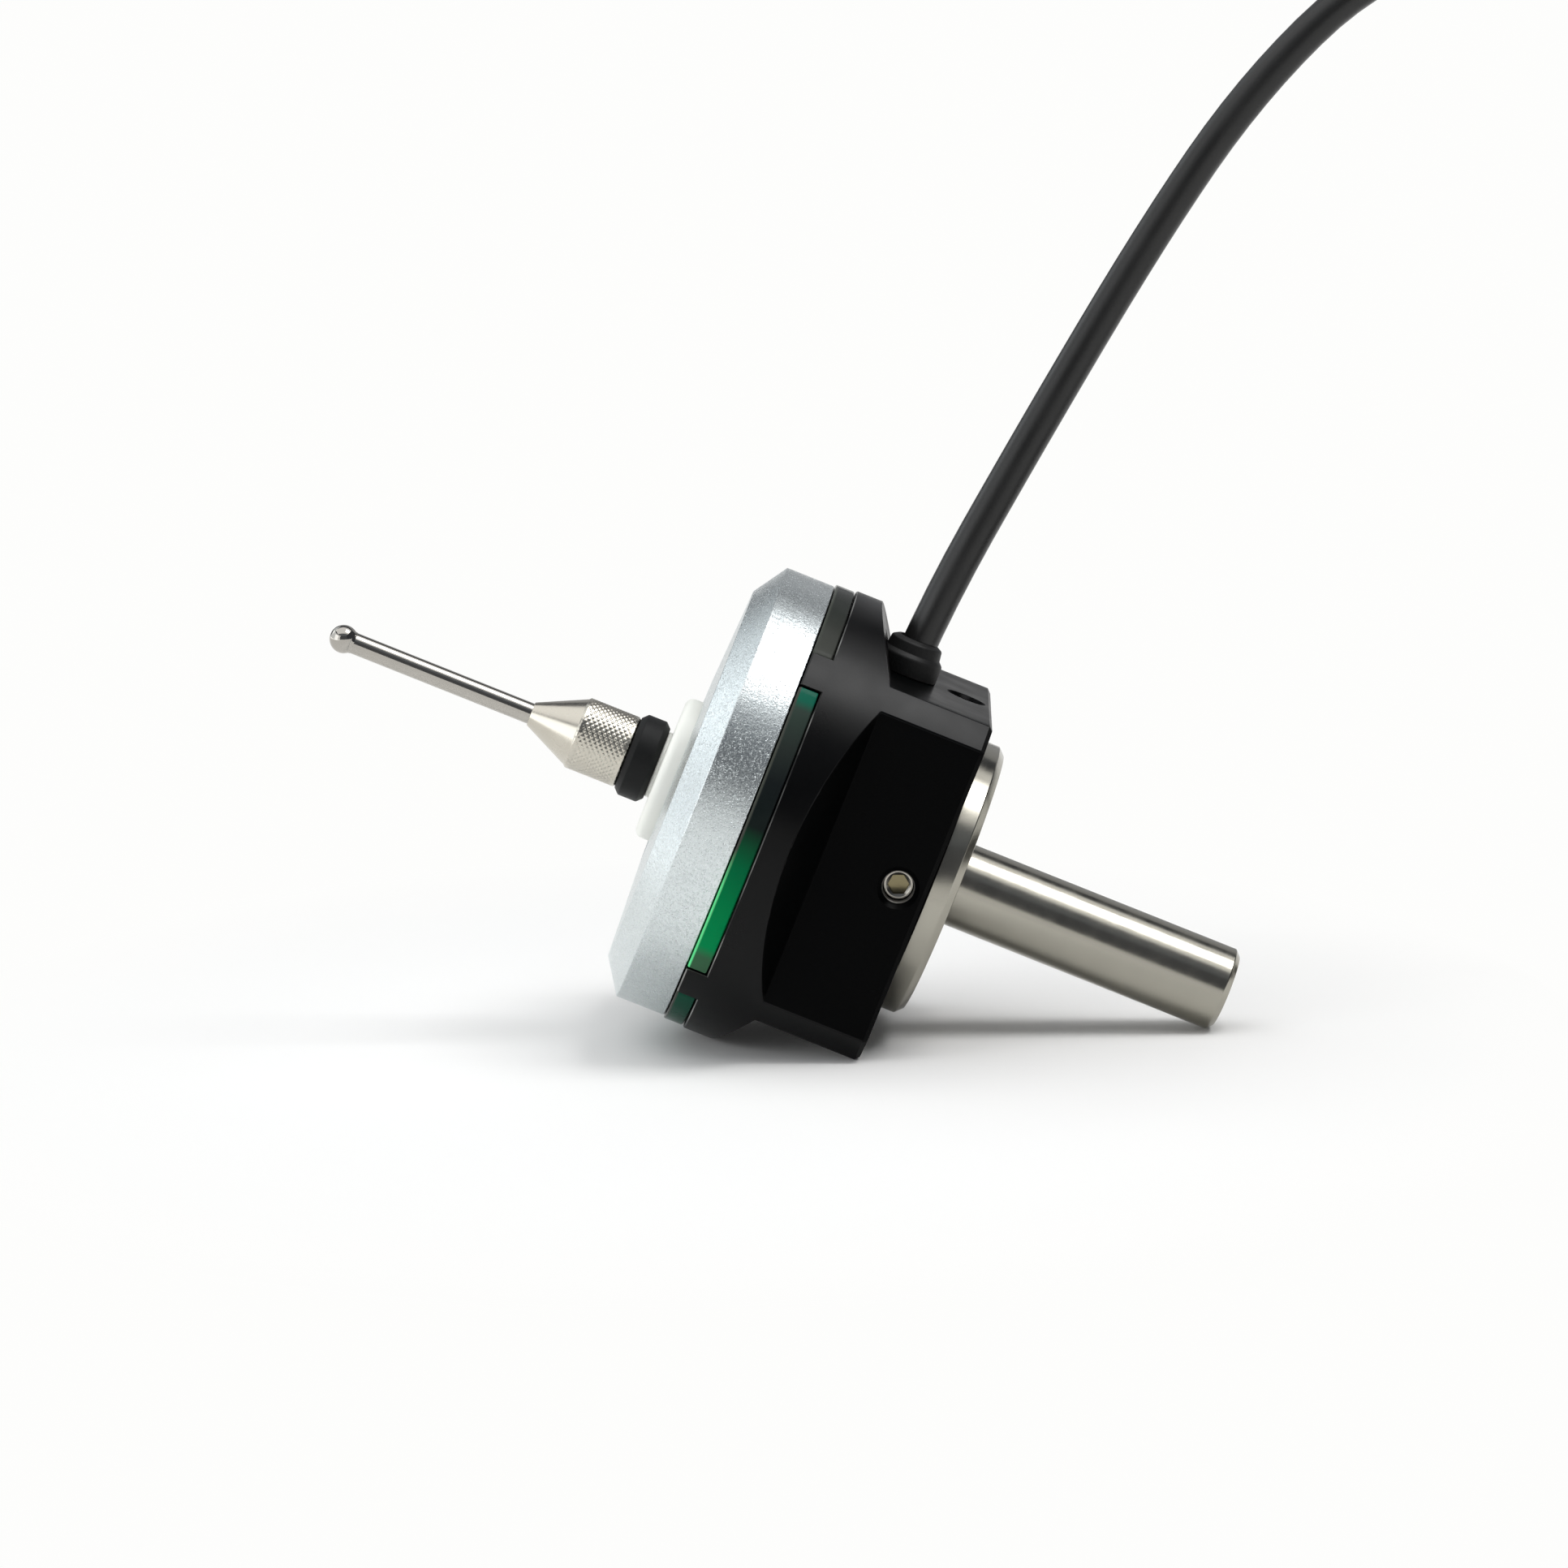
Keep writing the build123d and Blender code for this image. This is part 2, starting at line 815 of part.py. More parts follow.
def bundle(inset, corner, length):
    """Bar with the section of the wound bundle, drawn in by an inset, across the coil's middle."""
    width = coil_columns * cable_d - 2 * inset
    height = coil_layers * cable_d - 2 * inset
    section = Plane.XZ * RectangleRounded(width, height, corner)
    middle = coil_layers * cable_d / 2
    bar = extrude(section, length / 2, both=True)
    return Rot(0, 0, tie_angle) * Pos(coil_middle_d / 2, 0, middle) * bar


def cable_coil():
    """Wound length of the cable as one ring, drawn in under its tie, with its two ends."""
    width = coil_columns * cable_d
    height = coil_layers * cable_d
    section = Pos(coil_middle_d / 2, height / 2) * RectangleRounded(width, height, 0.48 * cable_d)
    ring = revolve(Plane.XZ * section, Axis.Z)
    waist = tie_width + 2 * tie_play
    ring = ring - bundle(-1, 0.5, waist) + bundle(tie_thickness + slip, 0.5, waist)
    end = extrude(Plane.XZ * Circle(cable_d / 2), -stub)
    inlet = Pos(-outer_turn, 0, top_layer) * end
    outlet = Rot(0, 0, outlet_angle) * Pos(outer_turn, 0, low_layer) * end
    return Pos(coil_x, coil_y, 0) * (ring + inlet + outlet)


def cable_tie():
    """Flat strap once around the bundle."""
    strap = bundle(0, 1.0, tie_width) - bundle(tie_thickness, 0.5, 2 * tie_width)
    return Pos(coil_x, coil_y, 0) * strap


def plug_place():
    """Where the boot begins, with plus Z along the plug."""
    return Plane(origin=plug_end - boot_bore * plug_heading, z_dir=plug_heading).location


def plug_boot():
    """Moulded handle of the plug with grooves that let its tail bend."""
    tail_length = boot_length - boot_grip
    boot = turned(
        (0, 0),
        (boot_tip_d / 2, 0),
        (boot_d / 2 - 0.8, tail_length),
        (boot_d / 2, tail_length + 0.8),
        (boot_d / 2, boot_length),
        (0, boot_length),
        rounds=[(boot_d / 2, boot_length, 0.4)],
    )
    for i in range(boot_ribs):
        start = 1.4 + i * rib_pitch
        taper = (boot_d / 2 - 0.8 - boot_tip_d / 2) / tail_length
        floor_r = boot_tip_d / 2 + taper * start - rib_depth
        boot -= tube(2 * floor_r, boot_d + 1, start, start + rib_width / 2)
    boot -= rod(cable_d + 2 * slip, 0, boot_bore)
    boot -= rod(shell_d - 2 * shell_wall, boot_length - 1.5, boot_length)
    return plug_place() * boot


def plug_shell():
    """Thin metal sleeve of the plug."""
    start = boot_length
    shell = tube(shell_d - 2 * shell_wall, shell_d, start, start + shell_length)
    key = Pos(shell_d / 2, 0, start + shell_length) * Box(1.2, 1.2, 5.0)
    return plug_place() * (shell - key)


def plug_insert():
    """Insulating block that holds the plug's pins."""
    start = boot_length - 1.5
    block = rod(shell_d - 2 * shell_wall - 2 * slip, start, start + insert_length)
    for place in plug_pin_places():
        block -= place * rod(plug_pin_d, start, start + insert_length)
    return plug_place() * block


def plug_pin_places():
    """Axes of the plug's pins."""
    for angle in plug_pin_angles:
        yield Rot(0, 0, angle) * Pos(plug_pin_circle_d / 2, 0, 0)


def plug_pins():
    """Four pins with rounded ends."""
    start = boot_length - 1.5
    pin = rod(plug_pin_d, start, start + plug_pin_length)
    tip = pin.edges().filter_by(GeomType.CIRCLE).sort_by(Axis.Z)[-1]
    pin = fillet(tip, 0.3)
    return plug_place() * group(place * pin for place in plug_pin_places())


def probe_pieces():
    """All pieces of the probe itself, on its own axis."""
    return {
        "stylus_ball": stylus_ball(),
        "stylus_stem": stylus_stem(),
        "stylus_holder": stylus_holder(),
        "lock_nut": lock_nut(),
        "carrier_hub": carrier_hub(),
        "kinematic_pins": kinematic_pins(),
        "return_spring": return_spring(),
        "dust_seal": dust_seal(),
        "contact_plate": contact_plate(),
        "contact_balls": contact_balls(),
        "front_ring": front_ring(),
        "light_guide": light_guide(),
        "led_board": led_board_ring(),
        "leds": leds(),
        "main_body": main_body(),
        "shank": shank(),
        "shank_screw": shank_screw(),
        "spring_washer": spring_washer(),
        "spring_seat": spring_seat(),
        "signal_board": signal_board_ring(),
        "board_components": board_components(),
        "board_screws": board_screws(),
        "set_screws": set_screws(),
        "contact_leads": contact_leads(),
        "led_leads": led_leads(),
        "signal_leads": signal_leads(),
        "cable_gland": cable_gland(),
    }


def cable_pieces():
    """The cable and what is on it, where they lie in the room."""
    return {
        "cable": free_cable(cable_route, "cable"),
        "cable_coil": cable_coil(),
        "cable_tie": cable_tie(),
        "cable_tail": free_cable(tail_route, "cable_tail"),
        "plug_boot": plug_boot(),
        "plug_shell": plug_shell(),
        "plug_insert": plug_insert(),
        "plug_pins": plug_pins(),
    }


os.makedirs("parts", exist_ok=True)
for name, piece in probe_pieces().items():
    export_step(lie_down * piece, f"parts/{name}.step")
for name, piece in cable_pieces().items():
    export_step(piece, f"parts/{name}.step")
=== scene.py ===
import json
import math

import bmesh
import bpy
from mathutils import Matrix, Vector


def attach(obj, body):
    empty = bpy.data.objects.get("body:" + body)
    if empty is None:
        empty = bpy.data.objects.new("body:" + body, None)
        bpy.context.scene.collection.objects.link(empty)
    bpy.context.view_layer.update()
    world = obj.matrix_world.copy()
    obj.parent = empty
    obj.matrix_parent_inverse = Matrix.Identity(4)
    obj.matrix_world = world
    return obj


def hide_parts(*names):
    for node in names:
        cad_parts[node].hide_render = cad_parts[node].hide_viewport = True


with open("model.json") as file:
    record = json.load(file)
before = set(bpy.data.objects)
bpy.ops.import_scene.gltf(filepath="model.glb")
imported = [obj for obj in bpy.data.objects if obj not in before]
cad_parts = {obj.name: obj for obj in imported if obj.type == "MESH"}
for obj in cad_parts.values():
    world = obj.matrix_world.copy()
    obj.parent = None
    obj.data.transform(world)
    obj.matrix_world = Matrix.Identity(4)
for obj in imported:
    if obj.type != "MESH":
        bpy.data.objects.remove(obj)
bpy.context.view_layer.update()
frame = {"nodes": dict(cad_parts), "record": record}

mm = 0.001
slip = 0.02  # between pieces that fit in each other
round_steps = 192
small_steps = 96

# The probe's own axes in the room, from the shank mount
shank_mount = next(m for m in frame["record"]["mounts"] if m["name"] == "shank")
shank_middle = 12.3
axis = Vector(shank_mount["axis"]).normalized()
across = Vector((-axis.z, 0, axis.x))
origin = Vector(shank_mount["pos_m"]) - axis * shank_middle * mm
probe_axes = Matrix((across, axis.cross(across), axis)).transposed()
lie_down = Matrix.Translation(origin) @ probe_axes.to_4x4()
from_probe = lie_down @ Matrix.Scale(mm, 4)

# Body
body_r = 16.4
half_flats = 12.4
body_edge = 0.3
flat_end = -7.6
ramp_length = 2.3
rim = -13.3
window_floor = -11.8
groove_r = 15.0
ledge_r = 14.4
groove_floor = -10.0
collar_r = 12.2
collar_front = -15.6
cavity_r = 11.0
cavity_floor = -8.0
recess_r = 4.4
web_front = -5.9
web_rear = -4.5
web_hole_r = 2.0
bore_r = 6.2
broken_edge = 0.08
rim_edge = 0.1
flat_steps = 24
arc_steps = 72
body_steps = 4 * arc_steps
ramp_rows = 16
tab_steps = (32, 40)
sides = (0, 90, 180, 270)

# Front ring
ring_r = 16.1
ring_rear = -13.36
plate_front = -16.9
ring_shoulder = -18.5
ring_front = -18.85
ring_bevel = 2.4
ring_mouth_r = 6.2
mouth_edge = 0.4
seal_recess_r = 7.72
seal_slot = 0.3
ring_bore_r = 12.22

# Light guide
guide_inner_r = 12.3
guide_outer_r = 14.9
window_r = 16.28
window_inner_r = guide_outer_r - 0.5
window_rear = -11.92
window_span = 79.2
window_edge = 0.1

# Hub, nut, stylus and its holder
hub_rear = -12.9
pad_front = -20.3
hub_front = -20.0
hub_face_r = 5.2
hub_pad_r = 2.4
hub_flange_r = 6.6
hub_flange_front = -15.098
hub_groove = 0.4
hub_groove_front = -17.25
hub_groove_rear = -16.85
pocket_r = 3.6
pocket_front = -13.9
nut_front = -22.45
nut_r = 3.0
nut_edge = 0.4
stud_r = 1.5
stud_end = -16.15
stud_edge = 0.3
knurl_front = -26.35
knurl_r = 2.6
knurl_edge = 0.15
knurl_depth = 0.055
knurls_around = 36
knurls_along = 9
knurl_steps = 8
cone_front = -29.75
cone_tip_r = 0.85
stem_r = 0.75
stem_end = -24.55
ball_centre = -43.8
ball_r = 1.0

# Shank and set screws
flange_r = 10.0
flange_rear = 2.0
flange_edge = 0.2
flange_bevel = 0.5
shank_r = 3.0
shank_end = 22.6
shank_edge = 0.4
spigot_r = 5.8
spigot_end = -4.4
spigot_edge = 0.3
set_screw_r = 1.25
set_screw_place = -2.0
set_screw_start = 5.8
set_screw_end = 10.8
set_screw_edge = 0.3
face_bevel = (0.24, 0.26)
face_cone_r = 0.86
face_cone = 0.48
key_across_flats = 1.3
key_floor = 9.9
key_drill_tip = 0.18
key_turn = 22
thread_pitch = 0.45
thread_depth = 0.18

# Cable, gland, coil and tie
cable_d = 2.5
cable_place = -6.6
cable_hole_r = 1.35
cable_hole_floor = 9.0
gland_bore_r = 1.3
gland_foot_r = 1.9
gland_foot = 1.2
gland_collar_r = 2.25
gland_collar = 1.3
gland_neck_r = (1.95, 1.85)
gland_top = 15.0
coil_centre = (78.5, -5.7)
coil_middle_r = 13.75
coil_rows = 4
coil_outer_r = 17.5
coil_points = 16
coil_stub = 9.504
outlet_angle = 350.0
tie_angle = 215.0
tie_width = 3.0
tie_thickness = 0.35
tie_corner = 1.5
tie_lift = 0.4


def add_object(name, data):
    """Object for a mesh, curve, lamp or camera, linked to the scene."""
    made = bpy.data.objects.new(name, data)
    bpy.context.scene.collection.objects.link(made)
    return made


class Skin:
    """Points and faces of one mesh; points that fall together become one."""

    grid = 1e5  # steps in a unit of length; points within one step are the same

    def __init__(self):
        self.index = {}
        self.points = []
        self.faces = []

    def point(self, place):
        """Number of the point at a place, which is added if it is new."""
        key = tuple(round(value * self.grid) for value in place)
        if key not in self.index:
            self.index[key] = len(self.points)
            self.points.append(tuple(place))
        return self.index[key]

    def face(self, places):
        """Face from its corners; one that shrinks to a line or a point is left out."""
        corners = []
        for place in places:
            number = self.point(place)
            if number not in corners:
                corners.append(number)
        if len(corners) > 2:
            self.faces.append(corners)

    def patch(self, rows, closed=False):
        """Faces between rows of points; closed joins the last column to the first."""
        for low, high in zip(rows, rows[1:]):
            count = len(low)
            for i in range(count if closed else count - 1):
                j = (i + 1) % count
                self.face((low[i], low[j], high[j], high[i]))

    def zip_rows(self, outer, inner):
        """Triangles between two closed rows in one plane, by angle; outer may repeat points."""
        outer = sorted(dict.fromkeys(outer), key=turn_of)
        inner = sorted(inner, key=turn_of)
        i = 0
        j = 0
        while i < len(outer) or j < len(inner):
            next_outer = turn_of(outer[i + 1]) if i + 1 < len(outer) else math.inf
            next_inner = turn_of(inner[j + 1]) if j + 1 < len(inner) else math.inf
            a = outer[i % len(outer)]
            b = inner[j % len(inner)]
            if j >= len(inner) or (i < len(outer) and next_outer <= next_inner):
                i += 1
                self.face((a, outer[i % len(outer)], b))
            else:
                j += 1
                self.face((a, inner[j % len(inner)], b))

    def piece(self, name):
        """Object made of the points and faces."""
        mesh = bpy.data.meshes.new(name)
        mesh.from_pydata(self.points, [], self.faces)
        build = bmesh.new()
        build.from_mesh(mesh)
        bmesh.ops.recalc_face_normals(build, faces=build.faces)
        build.to_mesh(mesh)
        build.free()
        return add_object(name, mesh)


def turn_of(place):
    """Angle of a point about the axis, from 0 to a full turn."""
    return math.atan2(place[1], place[0]) % (2 * math.pi)


def polar(radius, angle, place):
    """Point at a radius, an angle in radians and a place along the axis."""
    return (radius * math.cos(angle), radius * math.sin(angle), place)


def rounded(*corners, steps=5):
    """Closed outline from corners (r, z) or (r, z, fillet), with its fillets as arcs."""
    outline = []
    for number, corner in enumerate(corners):
        here = Vector(corner[:2])
        if len(corner) == 2:
            outline.append(tuple(here))
            continue
        fillet = corner[2]
        back = Vector(corners[number - 1][:2]) - here
        ahead = Vector(corners[(number + 1) % len(corners)][:2]) - here
        half = back.angle(ahead) / 2
        back.normalize()
        ahead.normalize()
        centre = here + (back + ahead).normalized() * fillet / math.sin(half)
        start = here + back * fillet / math.tan(half) - centre
        end = here + ahead * fillet / math.tan(half) - centre
        sweep = start.angle_signed(end)
        for i in range(steps + 1):
            arm = start.copy()
            arm.rotate(Matrix.Rotation(-sweep * i / steps, 2))
            outline.append(tuple(centre + arm))
    return outline


def circle(radius, place, steps):
    """Row of points round the axis."""
    return [polar(radius, 2 * math.pi * i / steps, place) for i in range(steps)]


def lathe(skin, outline, steps, closed=True):
    """Turns an outline of (radius, place) points about the axis."""
    rows = [circle(radius, place, steps) for radius, place in outline]
    if closed:
        rows.append(rows[0])
    skin.patch(rows, closed=True)


def turned(name, outline, steps=round_steps):
    """Piece of revolution."""
    skin = Skin()
    lathe(skin, outline, steps)
    return skin.piece(name)


def outward(angle, place):
    """Puts what is drawn along plus Z on a radius of the probe."""
    turn = Matrix.Rotation(math.radians(angle), 4, "Z") @ Matrix.Rotation(math.pi / 2, 4, "Y")
    return Matrix.Translation((0, 0, place)) @ turn


def joined(name, pieces):
    """One piece from several, in the order given."""
    build = bmesh.new()
    for piece in pieces:
        build.from_mesh(piece.data)
        bpy.data.objects.remove(piece)
    mesh = bpy.data.meshes.new(name)
    build.to_mesh(mesh)
    build.free()
    return add_object(name, mesh)


def cut(piece, tool):
    """Takes the tool's volume out of the piece."""
    modifier = piece.modifiers.new("cut", "BOOLEAN")
    modifier.operation = "DIFFERENCE"
    modifier.solver = "EXACT"
    modifier.object = tool
    bpy.context.view_layer.update()
    graph = bpy.context.evaluated_depsgraph_get()
    mesh = bpy.data.meshes.new_from_object(piece.evaluated_get(graph))
    piece.modifiers.clear()
    piece.data = mesh
    bpy.data.objects.remove(tool)


def settle(piece, material, body, slot, *nodes, place=from_probe, sharp=32):
    """Puts a piece where it belongs, gives it its material and body and hides its CAD nodes; the slot is
    not used.
    """
    piece.data.transform(place)
    piece.data.materials.clear()
    piece.data.materials.append(material)
    piece.data.shade_smooth()
    piece.data.set_sharp_from_angle(angle=math.radians(sharp))
    weighted = piece.modifiers.new("normals", "WEIGHTED_NORMAL")
    weighted.keep_sharp = True
    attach(piece, body)
    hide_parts(*nodes)


# Materials


class Paint:
    """A Principled material and the nodes that drive it."""

    noise_span = (0.3, 0.7)  # where most values of a noise lie

    def __init__(self, name, color, roughness, metallic=0.0, **inputs):
        self.material = bpy.data.materials.new(name)
        self.material.use_nodes = True
        self.tree = self.material.node_tree
        self.shader = self.tree.nodes["Principled BSDF"]
        self.color = color
        self.set("Base Color", (*color, 1))
        self.set("Roughness", roughness)
        self.set("Metallic", metallic)
        for label, value in inputs.items():
            self.set(label.replace("_", " "), value)

    def set(self, label, value):
        """Sets one of the shader's own sockets."""
        self.shader.inputs[label].default_value = value

    def node(self, kind, links=None, **settings):
        """New node; links are input: socket or input: value."""
        made = self.tree.nodes.new(kind)
        for key, value in settings.items():
            setattr(made, key, value)
        for key, value in (links or {}).items():
            if isinstance(value, bpy.types.NodeSocket):
                self.tree.links.new(value, made.inputs[key])
            else:
                made.inputs[key].default_value = value
        return made

    def link(self, socket, label):
        """Drives one of the shader's sockets."""
        self.tree.links.new(socket, self.shader.inputs[label])

    def room(self):
        """Place in the room, in metres."""
        return self.node("ShaderNodeTexCoord").outputs["Object"]

    def parts(self, vector):
        """The three parts of a vector."""
        return self.node("ShaderNodeSeparateXYZ", {0: vector}).outputs

    def own(self, stretch=(1, 1, 1)):
        """Place on the probe's own axes, in metres, stretched along each of them."""
        turn = self.node(
            "ShaderNodeMapping",
            {"Vector": self.room(), "Location": origin, "Rotation": probe_axes.to_euler()},
            vector_type="TEXTURE",
        )
        return self.node(
            "ShaderNodeVectorMath", {0: turn.outputs[0], 1: stretch}, operation="MULTIPLY"
        ).outputs[0]

    def noise(self, place, size, detail=2.0, roughness=0.5):
        """Noise with features of a size in millimetres."""
        return self.node(
            "ShaderNodeTexNoise",
            {"Vector": place, "Scale": 1 / (size * mm), "Detail": detail, "Roughness": roughness},
        ).outputs["Fac"]

    def ramp(self, value, low, high, out_low=0.0, out_high=1.0):
        """Value from low..high brought to out_low..out_high."""
        return self.node(
            "ShaderNodeMapRange",
            {"Value": value, "From Min": low, "From Max": high, "To Min": out_low, "To Max": out_high},
        ).outputs["Result"]

    def math(self, operation, a, b=0.0):
        """Result of a sum; a and b may be sockets."""
        return self.node("ShaderNodeMath", {0: a, 1: b}, operation=operation).outputs[0]

    def product(self, value, *others):
        """Values multiplied together."""
        for other in others:
            value = self.math("MULTIPLY", value, other)
        return value

    def length(self, a, b):
        """Length of a vector from its two parts."""
        squares = self.math("ADD", self.math("MULTIPLY", a, a), self.math("MULTIPLY", b, b))
        return self.math("SQRT", squares)

    def tint(self, value, a, b):
        """Base colour between a and b."""
        self.link(self.mix_colors(value, a, b), "Base Color")

    def shade(self, value, amount):
        """Base colour varied by a share of itself."""
        dark = [part * (1 - amount) for part in self.color]
        light = [min(1.0, part * (1 + amount)) for part in self.color]
        self.tint(value, dark, light)

    def roughen(self, noise, low, high):
        """Roughness that follows a noise."""
        self.link(self.ramp(noise, *self.noise_span, low, high), "Roughness")

    def mix_colors(self, value, a, b):
        """Colour a where the value is 0 and b where it is 1; each may be a socket."""
        made = self.node("ShaderNodeMix", data_type="RGBA")
        self.tree.links.new(value, made.inputs["Factor"])
        for number, color in ((6, a), (7, b)):
            if isinstance(color, bpy.types.NodeSocket):
                self.tree.links.new(color, made.inputs[number])
            else:
                made.inputs[number].default_value = (*color, 1)
        return made.outputs[2]

    def gradient(self, value, *stops):
        """Colour that follows a value through (value, colour) stops from 0 to 1."""
        made = self.node("ShaderNodeValToRGB", {"Fac": value})
        elements = made.color_ramp.elements
        while len(elements) < len(stops):
            elements.new(0.5)
        for element, (place, color) in zip(elements, stops):
            element.position = place
            element.color = (*color, 1)
        return made.outputs["Color"]

    def bump(self, height, depth, below=None):
        """Bump of a height from 0 to 1 that stands for a depth in millimetres."""
        links = {"Height": height, "Distance": depth * mm, "Strength": 1.0}
        if below is not None:
            links["Normal"] = below
        return self.node("ShaderNodeBump", links).outputs["Normal"]

    def relief(self, height, depth, below=None):
        """Bump that the shader shows."""
        self.link(self.bump(height, depth, below), "Normal")


def grained(name, color, roughness, grain, depth, metallic=0.0, spread=0.06, **inputs):
    """Surface as left by blasting, moulding or etching; its grain and depth are in millimetres."""
    paint = Paint(name, color, roughness, metallic, **inputs)
    place = paint.room()
    fine = paint.noise(place, grain, 3.0, 0.6)
    broad = paint.noise(place, grain * 30, 2.0)
    paint.relief(fine, depth)
    paint.roughen(broad, roughness - spread, roughness + spread)
    paint.shade(broad, 0.08)
    return paint.material


def turned_metal(name, color, roughness, pitch, depth, spread=0.05):
    """Turned or ground metal, with marks round the probe's axis; pitch and depth are in millimetres."""
    paint = Paint(name, color, roughness, 1.0)
    marks = paint.noise(paint.own((0.02, 0.02, 1)), pitch, 3.0, 0.7)
    broad = paint.noise(paint.room(), 1.5, 3.0)
    paint.relief(marks, depth)
    paint.roughen(broad, roughness - spread, roughness + spread)
    paint.shade(broad, 0.06)
    return paint.material


def ring_finish():
    """Bead-blasted and anodised aluminium, with single grains that glint; its rear face, in the gap to
    the body, is painted near black as shade.
    """
    paint = Paint("blasted_aluminium", (0.7, 0.73, 0.74), 0.3, 1.0)
    place = paint.room()
    grains = paint.noise(place, 0.1, 2.0, 0.65)
    pits = paint.noise(place, 0.3, 2.0, 0.5)
    chips = paint.ramp(paint.noise(place, 0.13, 1.0), 0.58, 0.64)
    paint.relief(chips, 0.03, paint.bump(pits, 0.012, paint.bump(grains, 0.016)))
    paint.roughen(grains, 0.22, 0.36)
    # Painted shade: the rear face, in the thin gap to the body, is coloured near black
    blasted_end = ring_rear - 0.05
    painted_shade_start = ring_rear - 0.04
    rear = paint.ramp(paint.parts(paint.own())["Z"], blasted_end * mm, painted_shade_start * mm)
    blasted = paint.mix_colors(pits, (0.635, 0.68, 0.69), (0.735, 0.785, 0.79))
    paint.tint(rear, blasted, (0.02, 0.02, 0.02))
    return paint.material


def anodised(name, color, gloss, dark, light):
    """Black anodised aluminium: its paint, its colour, and x, y and z on the probe in millimetres."""
    paint = Paint(name, color, 0.3)
    paint.set("Specular IOR Level", gloss)
    fine = paint.noise(paint.room(), 0.12, 3.0, 0.6)
    broad = paint.noise(paint.room(), 4.0, 3.0)
    paint.relief(fine, 0.0035)
    paint.roughen(broad, 0.27, 0.36)
    own = paint.parts(paint.own())
    x, y, z = (paint.math("DIVIDE", own[label], mm) for label in "XYZ")
    return paint, paint.mix_colors(broad, dark, light), x, y, z


def body_finish():
    """Black anodised aluminium as turned: satin, with its thin edges at the windows worn bare."""
    paint, black, x, y, z = anodised(
        "black_turned", (0.0009, 0.001, 0.0012), 0.16, (0.0007, 0.0008, 0.001), (0.0011, 0.0012, 0.0014)
    )
    fade = 0.01
    edge_inside = body_r - rim_edge
    edge_end = window_floor + broken_edge
    edge_outside = (body_r - 0.008, body_r - 0.004)
    patches = paint.noise(paint.room(), 5.0, 2.0)
    out = paint.length(x, y)
    worn = paint.product(
        paint.ramp(out, edge_inside - fade, edge_inside),
        paint.ramp(out, *edge_outside, 1.0, 0.0),
        paint.ramp(z, edge_end, edge_end + fade, 1.0, 0.0),
        paint.ramp(patches, 0.42, 0.6, 0.04, 0.75),
    )
    paint.tint(worn, black, (0.4, 0.4, 0.38))
    paint.link(worn, "Metallic")
    return paint.material


def flat_finish():
    """Black anodised aluminium as milled: deep black, with bare threads in the set screws' holes."""
    paint, black, x, y, z = anodised(
        "black_milled", (0.001, 0.0011, 0.0012), 0.035, (0.0008, 0.0009, 0.001), (0.0013, 0.0014, 0.0015)
    )
    from_screw = paint.math("SUBTRACT", z, set_screw_place)
    from_axis = paint.math("MINIMUM", paint.length(x, from_screw), paint.length(y, from_screw))
    thread = (set_screw_r - 0.16, set_screw_r - 0.11)
    bare = paint.ramp(from_axis, *thread, 1.0, 0.0)
    paint.tint(bare, black, (0.5, 0.48, 0.44))
    paint.link(bare, "Metallic")
    return paint.material


def screw_finish():
    """Steel set screw; down in its socket it is painted darker and warmer, as shade."""
    paint = Paint("screw_steel", (0.62, 0.59, 0.53), 0.22, 1.0)
    own = paint.parts(paint.own())
    out = paint.math("MAXIMUM", *(paint.math("ABSOLUTE", own[label]) for label in "XY"))
    # Painted shade: below the face, the socket's walls and floor are coloured darker and warmer
    socket_shade_end = set_screw_end - 0.24
    face_start = set_screw_end - 0.18
    deep = paint.ramp(out, socket_shade_end * mm, face_start * mm, 1.0, 0.0)
    grain = paint.noise(paint.room(), 0.12, 3.0, 0.6)
    face = paint.mix_colors(grain, (0.36, 0.34, 0.3), (0.5, 0.48, 0.43))
    paint.tint(deep, face, (0.22, 0.19, 0.11))
    paint.relief(grain, 0.003)
    return paint.material


